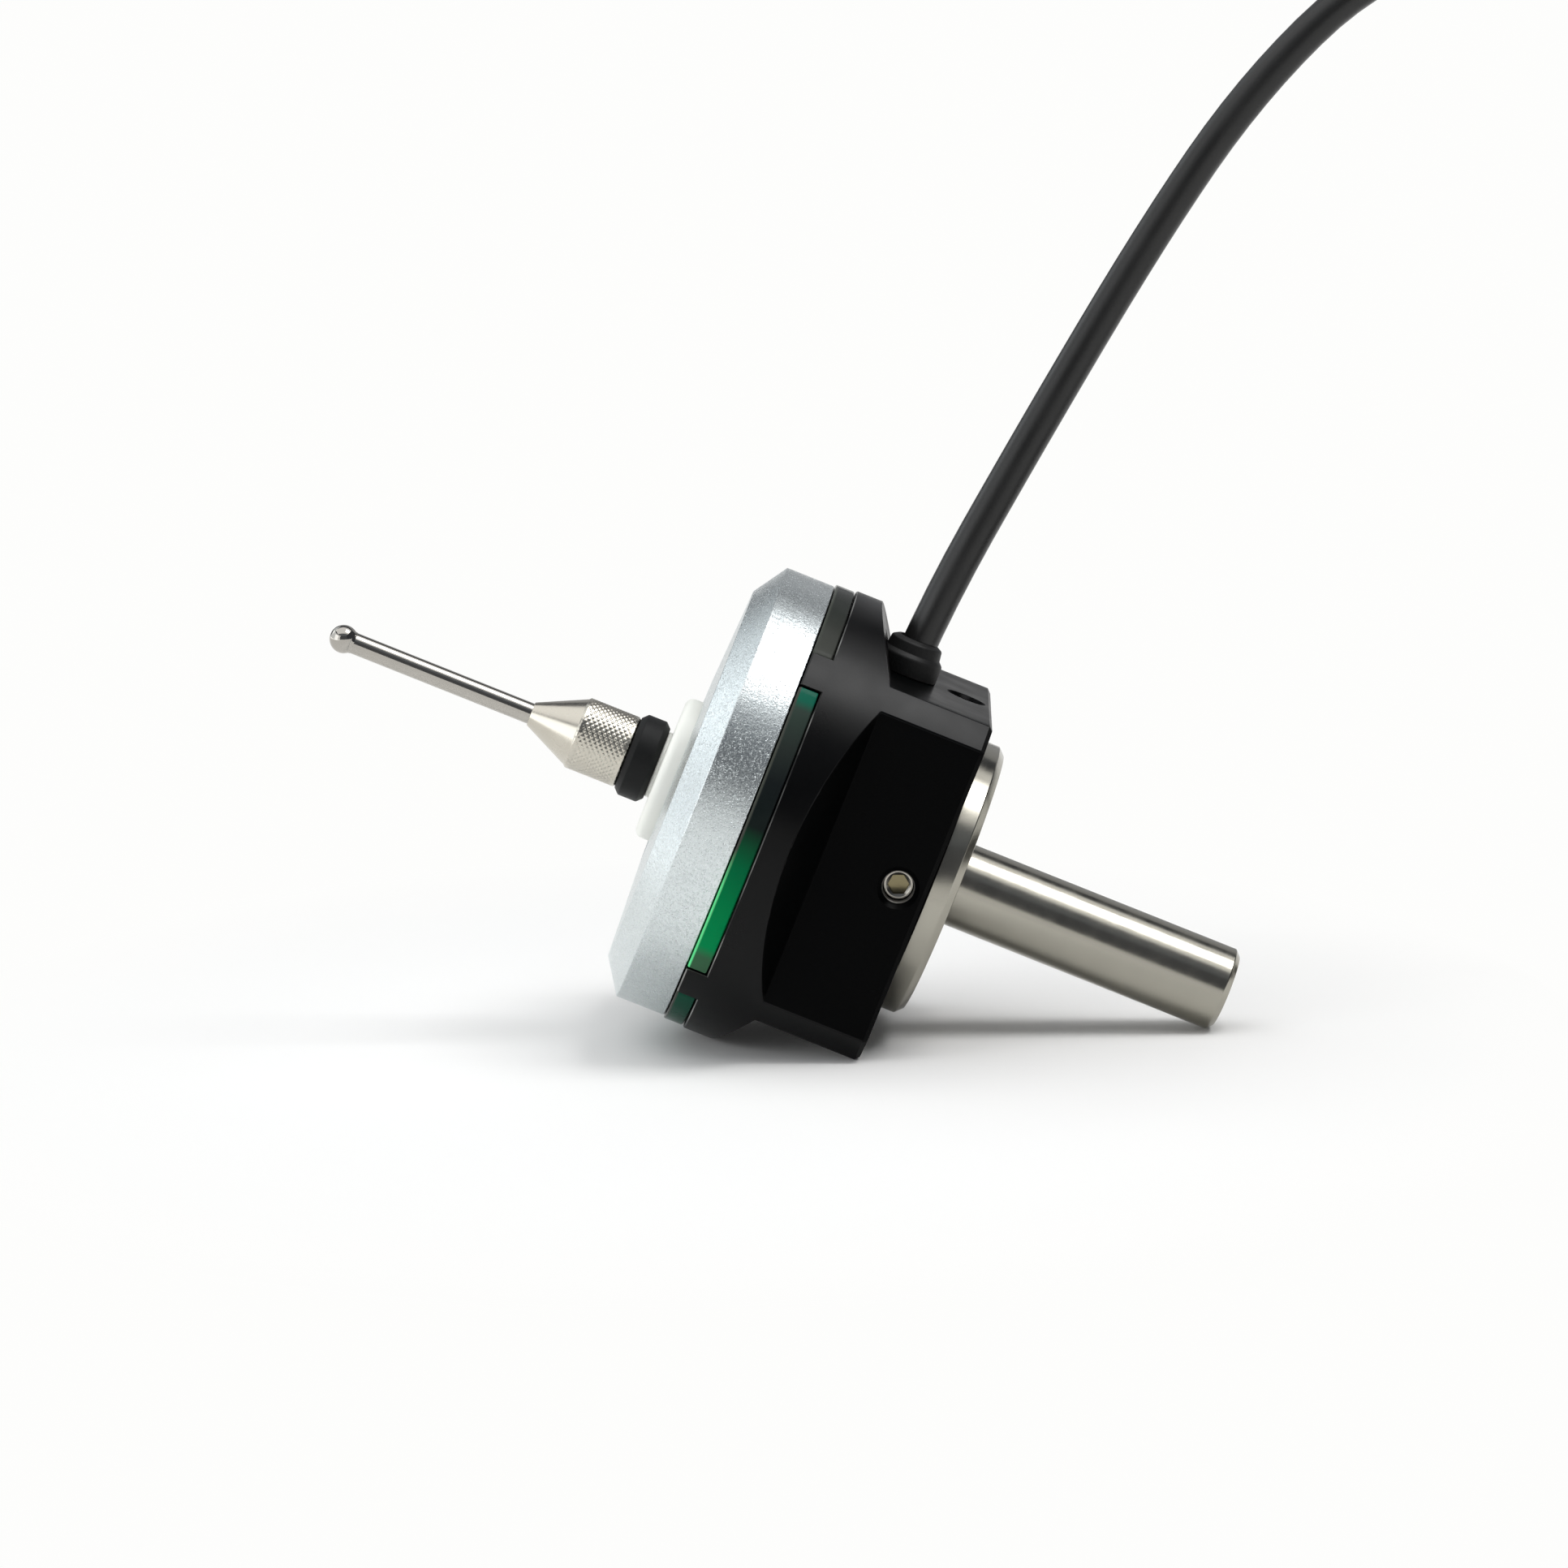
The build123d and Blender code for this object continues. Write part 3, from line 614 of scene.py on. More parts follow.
def window_finish():
    """Green plastic with painted light and shade: smoky and dark above, bright emerald below where light
    is painted as coming through, paler at its ends, and a painted highlight along its front edge.
    """
    paint = Paint("green_window", (0.0, 0.3, 0.1), 0.16)
    paint.set("Specular IOR Level", 0.04)
    own = paint.parts(paint.own())
    reach = 16.5
    height = paint.ramp(own["X"], -reach * mm, reach * mm)
    # Height on the probe in millimetres and the colour there, with light and shade painted in
    colors = (
        (-12.0, (0.006, 0.06, 0.035)),
        (-10.6, (0.045, 0.11, 0.06)),
        (-9.2, (0.04, 0.12, 0.06)),
        (-8.4, (0.0, 0.23, 0.07)),
        (-5.6, (0.0, 0.2, 0.06)),
        (-2.2, (0.0, 0.13, 0.045)),
        (0.8, (0.008, 0.013, 0.012)),
        (4.0, (0.011, 0.014, 0.015)),
        (6.5, (0.025, 0.032, 0.029)),
        (9.0, (0.036, 0.055, 0.045)),
        (9.6, (0.008, 0.12, 0.075)),
        (10.6, (0.008, 0.12, 0.075)),
        (11.8, (0.06, 0.064, 0.056)),
        (13.4, (0.055, 0.058, 0.051)),
        (15.3, (0.034, 0.038, 0.034)),
        (16.2, (0.018, 0.021, 0.019)),
    )
    painted_light_and_shade = paint.gradient(height, *(((x + reach) / (2 * reach), color) for x, color in colors))
    # Painted highlight: a thin pale line along the front edge, with a bright green painted glint on it in
    # the lower part
    edge_from = rim + 0.2
    edge_full = rim + 0.12
    edge = paint.ramp(own["Z"], edge_from * mm, edge_full * mm)
    above_end = paint.ramp(own["X"], -11.8 * mm, -11.3 * mm)
    below_middle = paint.ramp(own["X"], -4 * mm, -1 * mm, 1.0, 0.0)
    glint = paint.product(below_middle, above_end, edge)
    painted_edge_highlight = paint.mix_colors(edge, painted_light_and_shade, (0.06, 0.066, 0.056))
    paint.tint(glint, painted_edge_highlight, (0.12, 0.75, 0.28))
    paint.relief(paint.noise(paint.room(), 2.5, 2.0), 0.01)
    return paint.material


def cable_finish():
    """Black jacket, satin, with a faint unevenness."""
    paint = Paint("cable_jacket", (0.0075, 0.0075, 0.0072), 0.43)
    place = paint.room()
    broad = paint.noise(place, 6.0, 2.0)
    paint.relief(paint.noise(place, 0.25, 3.0, 0.6), 0.006)
    paint.roughen(broad, 0.33, 0.45)
    paint.shade(broad, 0.2)
    return paint.material


def woven_finish():
    """Black woven strap."""
    paint = Paint("woven_strap", (0.018, 0.018, 0.02), 0.85)
    paint.set("Sheen Weight", 0.4)
    threads = paint.node(
        "ShaderNodeTexWave", {"Vector": paint.room(), "Scale": 1100.0, "Distortion": 1.5, "Detail": 2.0}
    ).outputs["Fac"]
    paint.relief(threads, 0.05)
    paint.shade(threads, 0.4)
    return paint.material


steel = turned_metal("polished_steel", (0.44, 0.42, 0.385), 0.12, 0.05, 0.0006, 0.03)
nickel = turned_metal("nickel_plate", (0.58, 0.55, 0.48), 0.25, 0.12, 0.001)
ground = turned_metal("ground_steel", (0.38, 0.365, 0.315), 0.2, 0.045, 0.001, 0.04)
screw_metal = grained("inner_screw_steel", (0.58, 0.54, 0.48), 0.28, 0.1, 0.004, metallic=1.0)
black_steel = grained("black_steel", (0.004, 0.0044, 0.0046), 0.52, 0.14, 0.006, Specular_IOR_Level=0.22)
white_plastic = grained("white_plastic", (0.96, 0.98, 0.89), 0.42, 0.3, 0.004)
aluminium = ring_finish()
black_turned = body_finish()
black_milled = flat_finish()
socket_steel = screw_finish()
green = window_finish()
jacket = cable_finish()
rubber = grained("black_rubber", (0.009, 0.009, 0.009), 0.55, 0.2, 0.012, Specular_IOR_Level=0.3)
strap = woven_finish()


# Pieces


def body_row(flat, place, inset=0.0):
    """Outline of the body at one place: four flats, four arcs between them, and broken edges."""
    radius = body_r - inset
    distance = min(flat, body_r) - inset
    reach = math.acos(min(1.0, distance / radius))
    half_width = radius * math.sin(reach)
    edge = min(broken_edge, half_width / 3)
    arc_start = reach + edge / radius
    arc_span = math.pi / 2 - 2 * arc_start
    row = []
    for side in sides:
        turn = math.radians(side)
        for i in range(flat_steps + 1):
            x = (half_width - edge) * (2 * i / flat_steps - 1)
            row.append(polar(math.hypot(distance, x), turn + math.atan2(x, distance), place))
        for i in range(arc_steps + 1):
            row.append(polar(radius, turn + arc_start + arc_span * i / arc_steps, place))
    return row


def body_sides(skin):
    """Outside of the body from the rear face to the end of the ramps."""
    rows = [
        body_row(half_flats, 0, body_edge),
        body_row(half_flats, -body_edge),
        body_row(half_flats, flat_end + broken_edge),
    ]
    widest = math.acos(half_flats / body_r)
    slope = ramp_length / (body_r - half_flats)
    for i in range(ramp_rows + 1):
        flat = body_r * math.cos(widest * (1 - i / ramp_rows))
        flat = max(flat, half_flats + broken_edge / 2)
        rows.append(body_row(flat, flat_end - (flat - half_flats) * slope))
    skin.patch(rows, closed=True)
    return rows[0]


def body_rim(skin):
    """Rim with its four tabs, and the groove's mouth."""
    ramp_end = flat_end - ramp_length
    notch = [
        (body_r, ramp_end),
        (body_r, window_floor + broken_edge),
        (body_r - broken_edge, window_floor),
        (groove_r, window_floor),
    ]
    tab = [
        (body_r, window_floor + broken_edge),
        (body_r, rim + rim_edge),
        (body_r - rim_edge, rim),
        (groove_r + rim_edge / 2, rim),
        (groove_r, rim + rim_edge / 2),
        (groove_r, window_floor),
    ]
    over_tab = [notch[0], *tab]
    tab_end = [*tab, notch[2]]
    step = math.radians(90 / arc_steps)
    first, last = tab_steps
    for side in sides:
        turn = math.radians(side)
        for i in range(arc_steps):
            pair = (turn + i * step, turn + (i + 1) * step)
            outline = over_tab if first <= i < last else notch
            skin.patch([[polar(r, angle, z) for angle in pair] for r, z in outline])
        for i in (first, last):
            skin.face([polar(r, turn + i * step, z) for r, z in tab_end])


def tapped_hole():
    """Tool for a set screw's hole, with the thread that shows above the screw."""
    beyond = 1
    chamfer = 0.25
    proud = 0.03
    hole_r = set_screw_r + slip
    crest_r = set_screw_r - thread_depth
    neck_r = set_screw_r - 0.05
    mouth_r = set_screw_r + chamfer
    outline = [(0, bore_r - beyond), (hole_r, bore_r - beyond), (hole_r, set_screw_end)]
    place = set_screw_end + 0.1
    while place + thread_pitch < half_flats:
        outline += [(crest_r, place), (hole_r, place + thread_pitch / 2)]
        place += thread_pitch
    outline += [(neck_r, half_flats - chamfer), (mouth_r, half_flats + proud)]
    outline += [(mouth_r, half_flats + beyond), (0, half_flats + beyond)]
    return turned("hole", outline, 64)


def gland_hole():
    """Tool for the cable's hole, with a step that holds the gland's foot."""
    foot_r = gland_foot_r + slip
    foot_place = half_flats - gland_foot
    clear_r = gland_collar_r + 0.15
    clear_end = half_flats + 7.6
    outline = [
        (0, cable_hole_floor),
        (cable_hole_r, cable_hole_floor),
        (cable_hole_r, foot_place),
        (foot_r, foot_place),
        (foot_r, half_flats),
        (clear_r, half_flats),
        (clear_r, clear_end),
        (0, clear_end),
    ]
    return turned("hole", outline, small_steps)


def main_body():
    """Round in front with a notched rim, four flats behind, and the holes in them."""
    skin = Skin()
    rear_row = body_sides(skin)
    body_rim(skin)
    inside = [
        (groove_r, window_floor),
        (ledge_r, window_floor),
        (ledge_r, groove_floor),
        (collar_r, groove_floor),
        (collar_r, collar_front),
        (cavity_r, collar_front),
        (cavity_r, cavity_floor),
        (recess_r, cavity_floor),
        (recess_r, web_front),
        (web_hole_r, web_front),
        (web_hole_r, web_rear),
        (bore_r, web_rear),
        (bore_r, 0),
    ]
    lathe(skin, inside, body_steps, closed=False)
    skin.zip_rows(rear_row, circle(bore_r, 0, body_steps))
    body = skin.piece("body")
    holes = [(tapped_hole(), side, set_screw_place) for side in sides]
    holes.append((gland_hole(), 0, cable_place))
    for tool, side, place in holes:
        tool.data.transform(outward(side, place))
        cut(body, tool)
    milled = [face.index for face in body.data.polygons if is_milled(face)]
    settle(body, black_turned, "probe", "black_aluminium", "main_body")
    body.data.materials.append(black_milled)
    for number in milled:
        body.data.polygons[number].material_index = 1


def is_milled(face):
    """Whether a face of the body lies inside its round outline, as flats, ramps and holes do."""
    inside = math.hypot(face.center.x, face.center.y) < body_r - rim_edge
    return inside and face.center.z > flat_end - ramp_length


def front_ring():
    """Screwed ring with a bevelled front and a round mouth."""
    bevel_r = ring_r - ring_bevel
    outline = rounded(
        (ring_r, ring_rear, 0.12),
        (ring_r, plate_front, 0.14),
        (bevel_r, ring_shoulder, 0.3),
        (ring_mouth_r + mouth_edge, ring_front, 0.12),
        (ring_mouth_r, ring_front + mouth_edge, 0.08),
        (ring_mouth_r, plate_front - seal_slot),
        (seal_recess_r, plate_front - seal_slot),
        (seal_recess_r, plate_front),
        (ring_bore_r, plate_front),
        (ring_bore_r, ring_rear, 0.1),
    )
    settle(turned("ring", outline, body_steps), aluminium, "probe", "ring_aluminium", "front_ring")


def window(side):
    """One window of the light guide, with broken edges all round."""
    section = rounded(
        (window_inner_r, rim, window_edge),
        (window_r, rim, window_edge),
        (window_r, window_rear, window_edge),
        (window_inner_r, window_rear, window_edge),
    )
    middle_r = (window_inner_r + window_r) / 2
    middle_z = (rim + window_rear) / 2
    half = math.radians(window_span / 2)
    end_turn = window_edge / window_r
    steps = 64
    part = 0.3  # of the rounding at an end, where its slope changes
    turns = [-half, -half + end_turn * part]
    turns += [-half + end_turn + 2 * (half - end_turn) * i / steps for i in range(steps + 1)]
    turns += [half - end_turn * part, half]
    rows = []
    for number, turn in enumerate(turns):
        from_end = min(number, len(turns) - 1 - number)
        inset = (window_edge, part * window_edge, 0.0)[min(from_end, 2)]
        row = []
        for r, z in section:
            away = Vector((r - middle_r, z - middle_z))
            for i in range(2):
                away[i] -= math.copysign(min(inset, abs(away[i])), away[i])
            row.append(polar(middle_r + away.x, turn + math.radians(side), middle_z + away.y))
        rows.append(row)
    skin = Skin()
    skin.patch(rows, closed=True)
    skin.face(rows[0])
    skin.face(rows[-1])
    return skin.piece("window")


def light_guide():
    """Green ring under the rim, with a window in each notch."""
    ring = [
        (guide_inner_r, rim),
        (guide_outer_r, rim),
        (guide_outer_r, window_floor),
        (guide_inner_r, window_floor),
    ]
    pieces = [turned("guide", ring, body_steps // 2), *(window(side) for side in sides)]
    settle(joined("windows", pieces), green, "probe", "green_window", "light_guide")


def hub():
    """White moulded hub, with its pad, the seal's groove, its flange and the spring's pocket."""
    outline = rounded(
        (0, pad_front),
        (hub_pad_r, pad_front, 0.1),
        (hub_pad_r, hub_front, 0.08),
        (hub_face_r, hub_front, 0.6),
        (hub_face_r, hub_groove_front),
        (hub_face_r - hub_groove, hub_groove_front),
        (hub_face_r - hub_groove, hub_groove_rear),
        (hub_face_r, hub_groove_rear),
        (hub_face_r, hub_flange_front),
        (hub_flange_r, hub_flange_front),
        (hub_flange_r, hub_rear, 0.2),
        (pocket_r, hub_rear),
        (pocket_r, pocket_front),
        (0, pocket_front),
    )
    settle(turned("hub", outline), white_plastic, "stylus_carrier", "white_plastic", "carrier_hub")


def lock_nut():
    """Black round nut with broken edges."""
    outline = rounded(
        (stud_r + slip, nut_front),
        (nut_r - nut_edge, nut_front, 0.15),
        (nut_r, nut_front + nut_edge, 0.15),
        (nut_r, pad_front - nut_edge, 0.15),
        (nut_r - nut_edge, pad_front, 0.1),
        (stud_r + slip, pad_front),
    )
    settle(turned("nut", outline), black_steel, "stylus_carrier", "black_steel", "lock_nut")


def knurl_height(turn, along):
    """Height of the knurling from 0 in its grooves to 1 on its points, which are cut flat."""
    full_height = 1.35
    phases = (knurls_around * turn + lean * knurls_along * along for lean in (1, -1))
    return min(1.0, full_height * min(1 - abs(2 * (phase % 1) - 1) for phase in phases))


def knurled_rows(start, end, columns):
    """Rows of points along the grip; its knurling fades out in the last tenth at both ends."""
    steps = knurls_along * knurl_steps
    fade_rate = 10
    rows = []
    for j in range(steps + 1):
        share = j / steps
        place = start + (end - start) * share
        fade = min(1.0, fade_rate * share, fade_rate * (1 - share))
        row = []
        for i in range(columns):
            radius = knurl_r - knurl_depth * fade * (1 - knurl_height(i / columns, share))
            row.append(polar(radius, 2 * math.pi * i / columns, place))
        rows.append(row)
    return rows


def stylus_holder():
    """Cone, knurled grip and stud, bored for the stem."""
    columns = knurls_around * knurl_steps
    grip_start = knurl_front + knurl_edge
    cone = rounded(
        (stem_r, cone_front),
        (cone_tip_r, cone_front, 0.06),
        (knurl_r - knurl_edge, knurl_front, 0.1),
        (knurl_r, grip_start),
        (stem_r, grip_start),
    )
    stud = [
        (knurl_r - knurl_edge, nut_front),
        (stud_r, nut_front),
        (stud_r, stud_end - stud_edge),
        (stud_r - stud_edge, stud_end),
        (0, stud_end),
        (0, stem_end),
        (stem_r, stem_end),
        (stem_r, cone_front),
    ]
    rows = [circle(*point, columns) for point in cone[1:-2]]
    rows += knurled_rows(grip_start, nut_front - knurl_edge, columns)
    rows += [circle(*point, columns) for point in stud]
    skin = Skin()
    skin.patch([*rows, rows[0]], closed=True)
    settle(skin.piece("holder"), nickel, "stylus_carrier", "stylus_steel", "stylus_holder", sharp=50)


def stylus():
    """Stem and ball, with the small fillet of braze between them."""
    stem_start = ball_centre + ball_r / 2
    outline = [(0, stem_start), (stem_r, stem_start), (stem_r, stem_end), (0, stem_end)]
    stem = turned("stem", outline, small_steps)
    settle(stem, steel, "stylus_carrier", "stylus_steel", "stylus_stem")
    neck = math.sqrt(ball_r ** 2 - stem_r ** 2)
    neck_place = ball_centre + neck
    braze_start = neck_place + 0.06
    braze_end = neck_place + 0.16
    outline = []
    for i in range(small_steps // 2 + 1):
        angle = 2 * math.pi * i / small_steps
        place = -ball_r * math.cos(angle)
        if place < neck - slip:
            outline.append((ball_r * math.sin(angle), ball_centre + place))
    outline += [(stem_r + 0.03, braze_start), (stem_r - 0.01, braze_end), (0, braze_end)]
    ball = turned("ball", outline, small_steps)
    settle(ball, steel, "stylus_carrier", "stylus_steel", "stylus_ball")


def shank():
    """Shank, flange and spigot in one turned piece."""
    outline = rounded(
        (0, spigot_end),
        (spigot_r - spigot_edge, spigot_end),
        (spigot_r, spigot_end + spigot_edge),
        (spigot_r, 0),
        (flange_r - flange_edge, 0, 0.05),
        (flange_r, flange_edge, 0.1),
        (flange_r, flange_rear - flange_bevel, 0.12),
        (flange_r - flange_bevel, flange_rear, 0.12),
        (shank_r, flange_rear, 0.4),
        (shank_r, shank_end - shank_edge, 0.12),
        (shank_r - shank_edge, shank_end, 0.12),
        (0, shank_end),
    )
    settle(turned("shank_piece", outline), ground, "probe", "ground_steel", "shank")


def set_screw(side):
    """One socket set screw; its face is a bevel, a narrow rim and a shallow cone round the key's hole."""
    bevel_width, bevel_height = face_bevel
    outline = rounded(
        (0, set_screw_start),
        (set_screw_r - set_screw_edge, set_screw_start),
        (set_screw_r, set_screw_start + set_screw_edge),
        (set_screw_r, set_screw_end - bevel_height, 0.06),
        (set_screw_r - bevel_width, set_screw_end, 0.05),
        (face_cone_r, set_screw_end, 0.02),
        (0.0, set_screw_end - face_cone),
    )
    screw = turned("screw", outline, small_steps)
    key_r = key_across_flats / math.sqrt(3)
    key_top = 12
    key_outline = [(0, key_floor - key_drill_tip), (key_r, key_floor), (key_r, key_top), (0, key_top)]
    key = turned("key", key_outline, 6)
    key.data.transform(Matrix.Rotation(math.radians(key_turn), 4, "Z"))
    cut(screw, key)
    screw.data.transform(outward(side, set_screw_place))
    return screw


def set_screws():
    """Four socket set screws, which show in the holes of the flats."""
    screws = joined("socket_screws", [set_screw(side) for side in sides])
    settle(screws, socket_steel, "probe", "screw_steel", "set_screws")


def gland():
    """Rubber strain relief with a collar on the flat."""
    neck_r, top_r = gland_neck_r
    slope = 0.3
    outline = rounded(
        (gland_bore_r, half_flats - gland_foot),
        (gland_foot_r, half_flats - gland_foot),
        (gland_foot_r, half_flats),
        (gland_collar_r, half_flats, 0.1),
        (gland_collar_r, half_flats + gland_collar, 0.3),
        (neck_r, half_flats + gland_collar + slope, 0.1),
        (top_r, gland_top - slope, 0.2),
        (gland_bore_r, gland_top, 0.1),
    )
    piece = turned("strain_relief", outline, small_steps)
    piece.data.transform(outward(0, cable_place))
    settle(piece, rubber, "probe", "gland_rubber", "cable_gland")


def in_room(reach):
    """Point on the gland's axis, in millimetres in the room."""
    return tuple(from_probe @ Vector((reach, 0, cable_place)) / mm)


def smooth_step(value):
    """Rises smoothly from 0 to 1."""
    value = max(0.0, min(1.0, value))
    return value * value * (3 - 2 * value)


def coil_slot(number):
    """Radius and height of one turn; the rows run inwards and outwards by turns, from the top down."""
    layer, place = divmod(number, coil_rows)
    column = place if layer % 2 == 0 else coil_rows - 1 - place
    return coil_outer_r - column * cable_d, (coil_rows - layer - 0.5) * cable_d


def coil_turns():
    """Control points of the coil's turns, from its inlet at the left to its outlet at the right."""
    slots = coil_rows ** 2
    turns = slots - 1 + (outlet_angle - 180) / 360
    share = turns / slots
    shift = 1 / 4  # of a turn, in which the cable passes to its next slot
    lift_from = 0.75  # as a cosine of the angle from the tie, like lift_over
    lift_over = 0.2
    count = round(turns * coil_points)
    step = 2 * math.pi * turns / count
    points = []
    for i in range(count):
        progress = (i + 0.5) * turns / count
        number = min(slots - 1, int(progress / share + 0.5))
        last_r, last_z = coil_slot(max(0, number - 1))
        next_r, next_z = coil_slot(number)
        blend = smooth_step((progress - number * share) / shift + 0.5) if number else 1.0
        radius = (last_r + (next_r - last_r) * blend) / math.cos(step / 2)
        angle = math.pi + (i + 0.5) * step
        near_tie = math.cos(angle - math.radians(tie_angle))
        lift = tie_lift * smooth_step((near_tie - lift_from) / lift_over)
        points.append(on_coil(radius, 0, last_z + (next_z - last_z) * blend + lift, angle))
    return points


def on_coil(radius, ahead, height, angle):
    """Point beside the coil: out along an angle and ahead on the turn's tangent there."""
    x = coil_centre[0] + radius * math.cos(angle) - ahead * math.sin(angle)
    y = coil_centre[1] + radius * math.sin(angle) + ahead * math.cos(angle)
    return (x, y, height)


def cable_route():
    """Control points of the cable: up out of the gland, over and down, round its coil and to the plug."""
    top = (coil_rows - 0.5) * cable_d
    low = 0.5 * cable_d
    left = coil_centre[0] - coil_outer_r
    outlet = math.radians(outlet_angle)
    route = [
        in_room(8.0),
        in_room(16.0),
        (17.5, 2.1, 41.6),
        (26.2, 4.1, 55.7),
        (33.1, 5.4, 65.3),
        (41.3, 7.3, 73.0),
        (50.5, 8.9, 75.6),
        (59.6, 10.6, 72.6),
        (64.9, 12.8, 65.2),
        (66.4, 16.0, 53.8),
        (65.6, 19.4, 41.8),
        (63.6, 22.4, 30.3),
        (61.7, 22.7, 19.7),
        (left, 18.6, 12.8),
        (left, 11.6, top),
        (left, coil_centre[1] + coil_stub, top),
    ]
    tail = [
        on_coil(coil_outer_r, coil_stub, low, outlet),
        on_coil(coil_outer_r, coil_stub + 5.3, low, outlet),
        (97.4, 11.1, 1.5),
        (94.7, 15.7, 2.1),
        (90.7, 19.1, 2.9),
        (85.7, 20.9, 3.5),
        (78.2, 20.9, 3.5),
    ]
    return route + coil_turns() + tail


def cable():
    """The whole cable as one smooth line."""
    points = cable_route()
    curve = bpy.data.curves.new("cable_line", "CURVE")
    curve.dimensions = "3D"
    spline = curve.splines.new("NURBS")
    spline.points.add(len(points) - 1)
    for place, target in zip(points, spline.points):
        target.co = (*(Vector(place) * mm), 1)
    spline.order_u = 3
    spline.use_endpoint_u = True
    spline.resolution_u = 6
    curve.bevel_depth = cable_d / 2 * mm
    curve.bevel_resolution = 6
    curve.use_fill_caps = True
    curve.materials.append(jacket)
    piece = add_object("cord", curve)
    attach(piece, "probe")
    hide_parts("cable", "cable_coil", "cable_tail")


def cable_tie():
    """Woven strap once round the bundle."""
    half = coil_rows * cable_d / 2
    reach = half + tie_thickness
    middle_z = half + tie_lift
    corners = ((-reach, -reach), (reach, -reach), (reach, reach), (-reach, reach))
    outer = rounded(*((x, z, tie_corner) for x, z in corners), steps=8)
    inner = [(x * half / reach, z * half / reach) for x, z in outer]
    rows = []
    for edge, loop in ((-1, outer), (1, outer), (1, inner), (-1, inner), (-1, outer)):
        rows.append([(coil_middle_r + x, edge * tie_width / 2, middle_z + z) for x, z in loop])
    skin = Skin()
    skin.patch(rows, closed=True)
    turn = Matrix.Rotation(math.radians(tie_angle), 4, "Z")
    place = Matrix.Scale(mm, 4) @ Matrix.Translation((*coil_centre, 0)) @ turn
    settle(skin.piece("tie"), strap, "probe", "tie_strap", "cable_tie", place=place)


def inner_materials():
    """Materials of the CAD nodes that keep their own shape."""
    board = grained("solder_resist", (0.015, 0.12, 0.04), 0.35, 0.4, 0.01)
    spring = grained("spring_wire", (0.5, 0.5, 0.5), 0.25, 0.1, 0.003, metallic=1.0)
    hard = grained("hard_steel", (0.7, 0.7, 0.71), 0.1, 0.3, 0.0008, metallic=1.0, spread=0.02)
    plastic = grained("black_plastic", (0.03, 0.028, 0.026), 0.45, 0.3, 0.006)
    leads = grained("lead_insulation", (0.35, 0.03, 0.02), 0.4, 0.3, 0.006)
    led = grained("led_resin", (0.75, 0.74, 0.6), 0.2, 0.3, 0.003)
    gold = grained("gold_plate", (0.8, 0.58, 0.25), 0.2, 0.2, 0.002, metallic=1.0)
    plating = grained("nickel_shell", (0.68, 0.66, 0.61), 0.22, 0.25, 0.003, metallic=1.0)
    finishes = {
        "kinematic_pins": hard,
        "contact_balls": hard,
        "return_spring": spring,
        "dust_seal": rubber,
        "contact_plate": plastic,
        "led_board": board,
        "signal_board": board,
        "leds": led,
        "board_components": plastic,
        "board_screws": screw_metal,
        "shank_screw": screw_metal,
        "spring_washer": screw_metal,
        "spring_seat": white_plastic,
        "contact_leads": leads,
        "led_leads": leads,
        "signal_leads": leads,
        "plug_boot": rubber,
        "plug_shell": plating,
        "plug_insert": plastic,
        "plug_pins": gold,
    }
    for name, material in finishes.items():
        node = frame["nodes"][name]
        if not node.material_slots:
            node.data.materials.append(material)
        for holder in node.material_slots:
            holder.material = material


# Stage, camera and lights


def camera():
    """Camera at the photograph's angle."""
    azimuth = math.radians(-1.79)
    elevation = math.radians(7.83)
    roll = math.radians(-0.96)
    distance = 400 * mm
    target = Vector((-0.08, 0, 17.62)) * mm
    level = math.cos(elevation)
    ahead = Vector((math.sin(azimuth) * level, math.cos(azimuth) * level, -math.sin(elevation)))
    right = ahead.cross(Vector((0, 0, 1))).normalized()
    up = right.cross(ahead)
    right, up = (
        right * math.cos(roll) + up * math.sin(roll),
        up * math.cos(roll) - right * math.sin(roll),
    )
    data = bpy.data.cameras.new("camera")
    data.sensor_width = 36
    data.lens = 131.46
    data.clip_start = 0.01
    data.clip_end = 100
    made = add_object("camera", data)
    turn = Matrix((right, up, -ahead)).transposed().to_4x4()
    made.matrix_world = Matrix.Translation(target - ahead * distance) @ turn
    bpy.context.scene.camera = made


def floor_finish():
    """White bench: plain white far out, lit and shadowed as it is round the probe and its coil."""
    paint = Paint("white_bench", (0.955, 0.95, 0.935), 0.9)
    near_white = 0.02
    near_share = 0.55
    near_zones = ((-4, 0, 60, 85), (83, 3, 28, 32))  # x, y, half width and half depth
    place = paint.parts(paint.room())
    far = 1.0
    for x, y, half_x, half_y in near_zones:
        reach_x = paint.math("DIVIDE", paint.math("SUBTRACT", place["X"], x * mm), half_x * mm)
        reach_y = paint.math("DIVIDE", paint.math("SUBTRACT", place["Y"], y * mm), half_y * mm)
        reach = paint.length(reach_x, reach_y)
        far = paint.math("MINIMUM", far, paint.ramp(reach, near_share, 1.0, near_white, 1.0))
    white = paint.node("ShaderNodeEmission", {"Color": (0.985, 0.985, 0.975, 1), "Strength": 1.0})
    rays = paint.node("ShaderNodeLightPath").outputs
    seen = paint.math("MAXIMUM", rays["Is Camera Ray"], rays["Is Glossy Ray"])
    seen = paint.math("MAXIMUM", seen, rays["Is Transmission Ray"])
    links = {0: paint.product(far, seen), 1: paint.shader.outputs[0], 2: white.outputs[0]}
    mixed = paint.node("ShaderNodeMixShader", links)
    paint.tree.links.new(mixed.outputs[0], paint.tree.nodes["Material Output"].inputs["Surface"])
    return paint.material


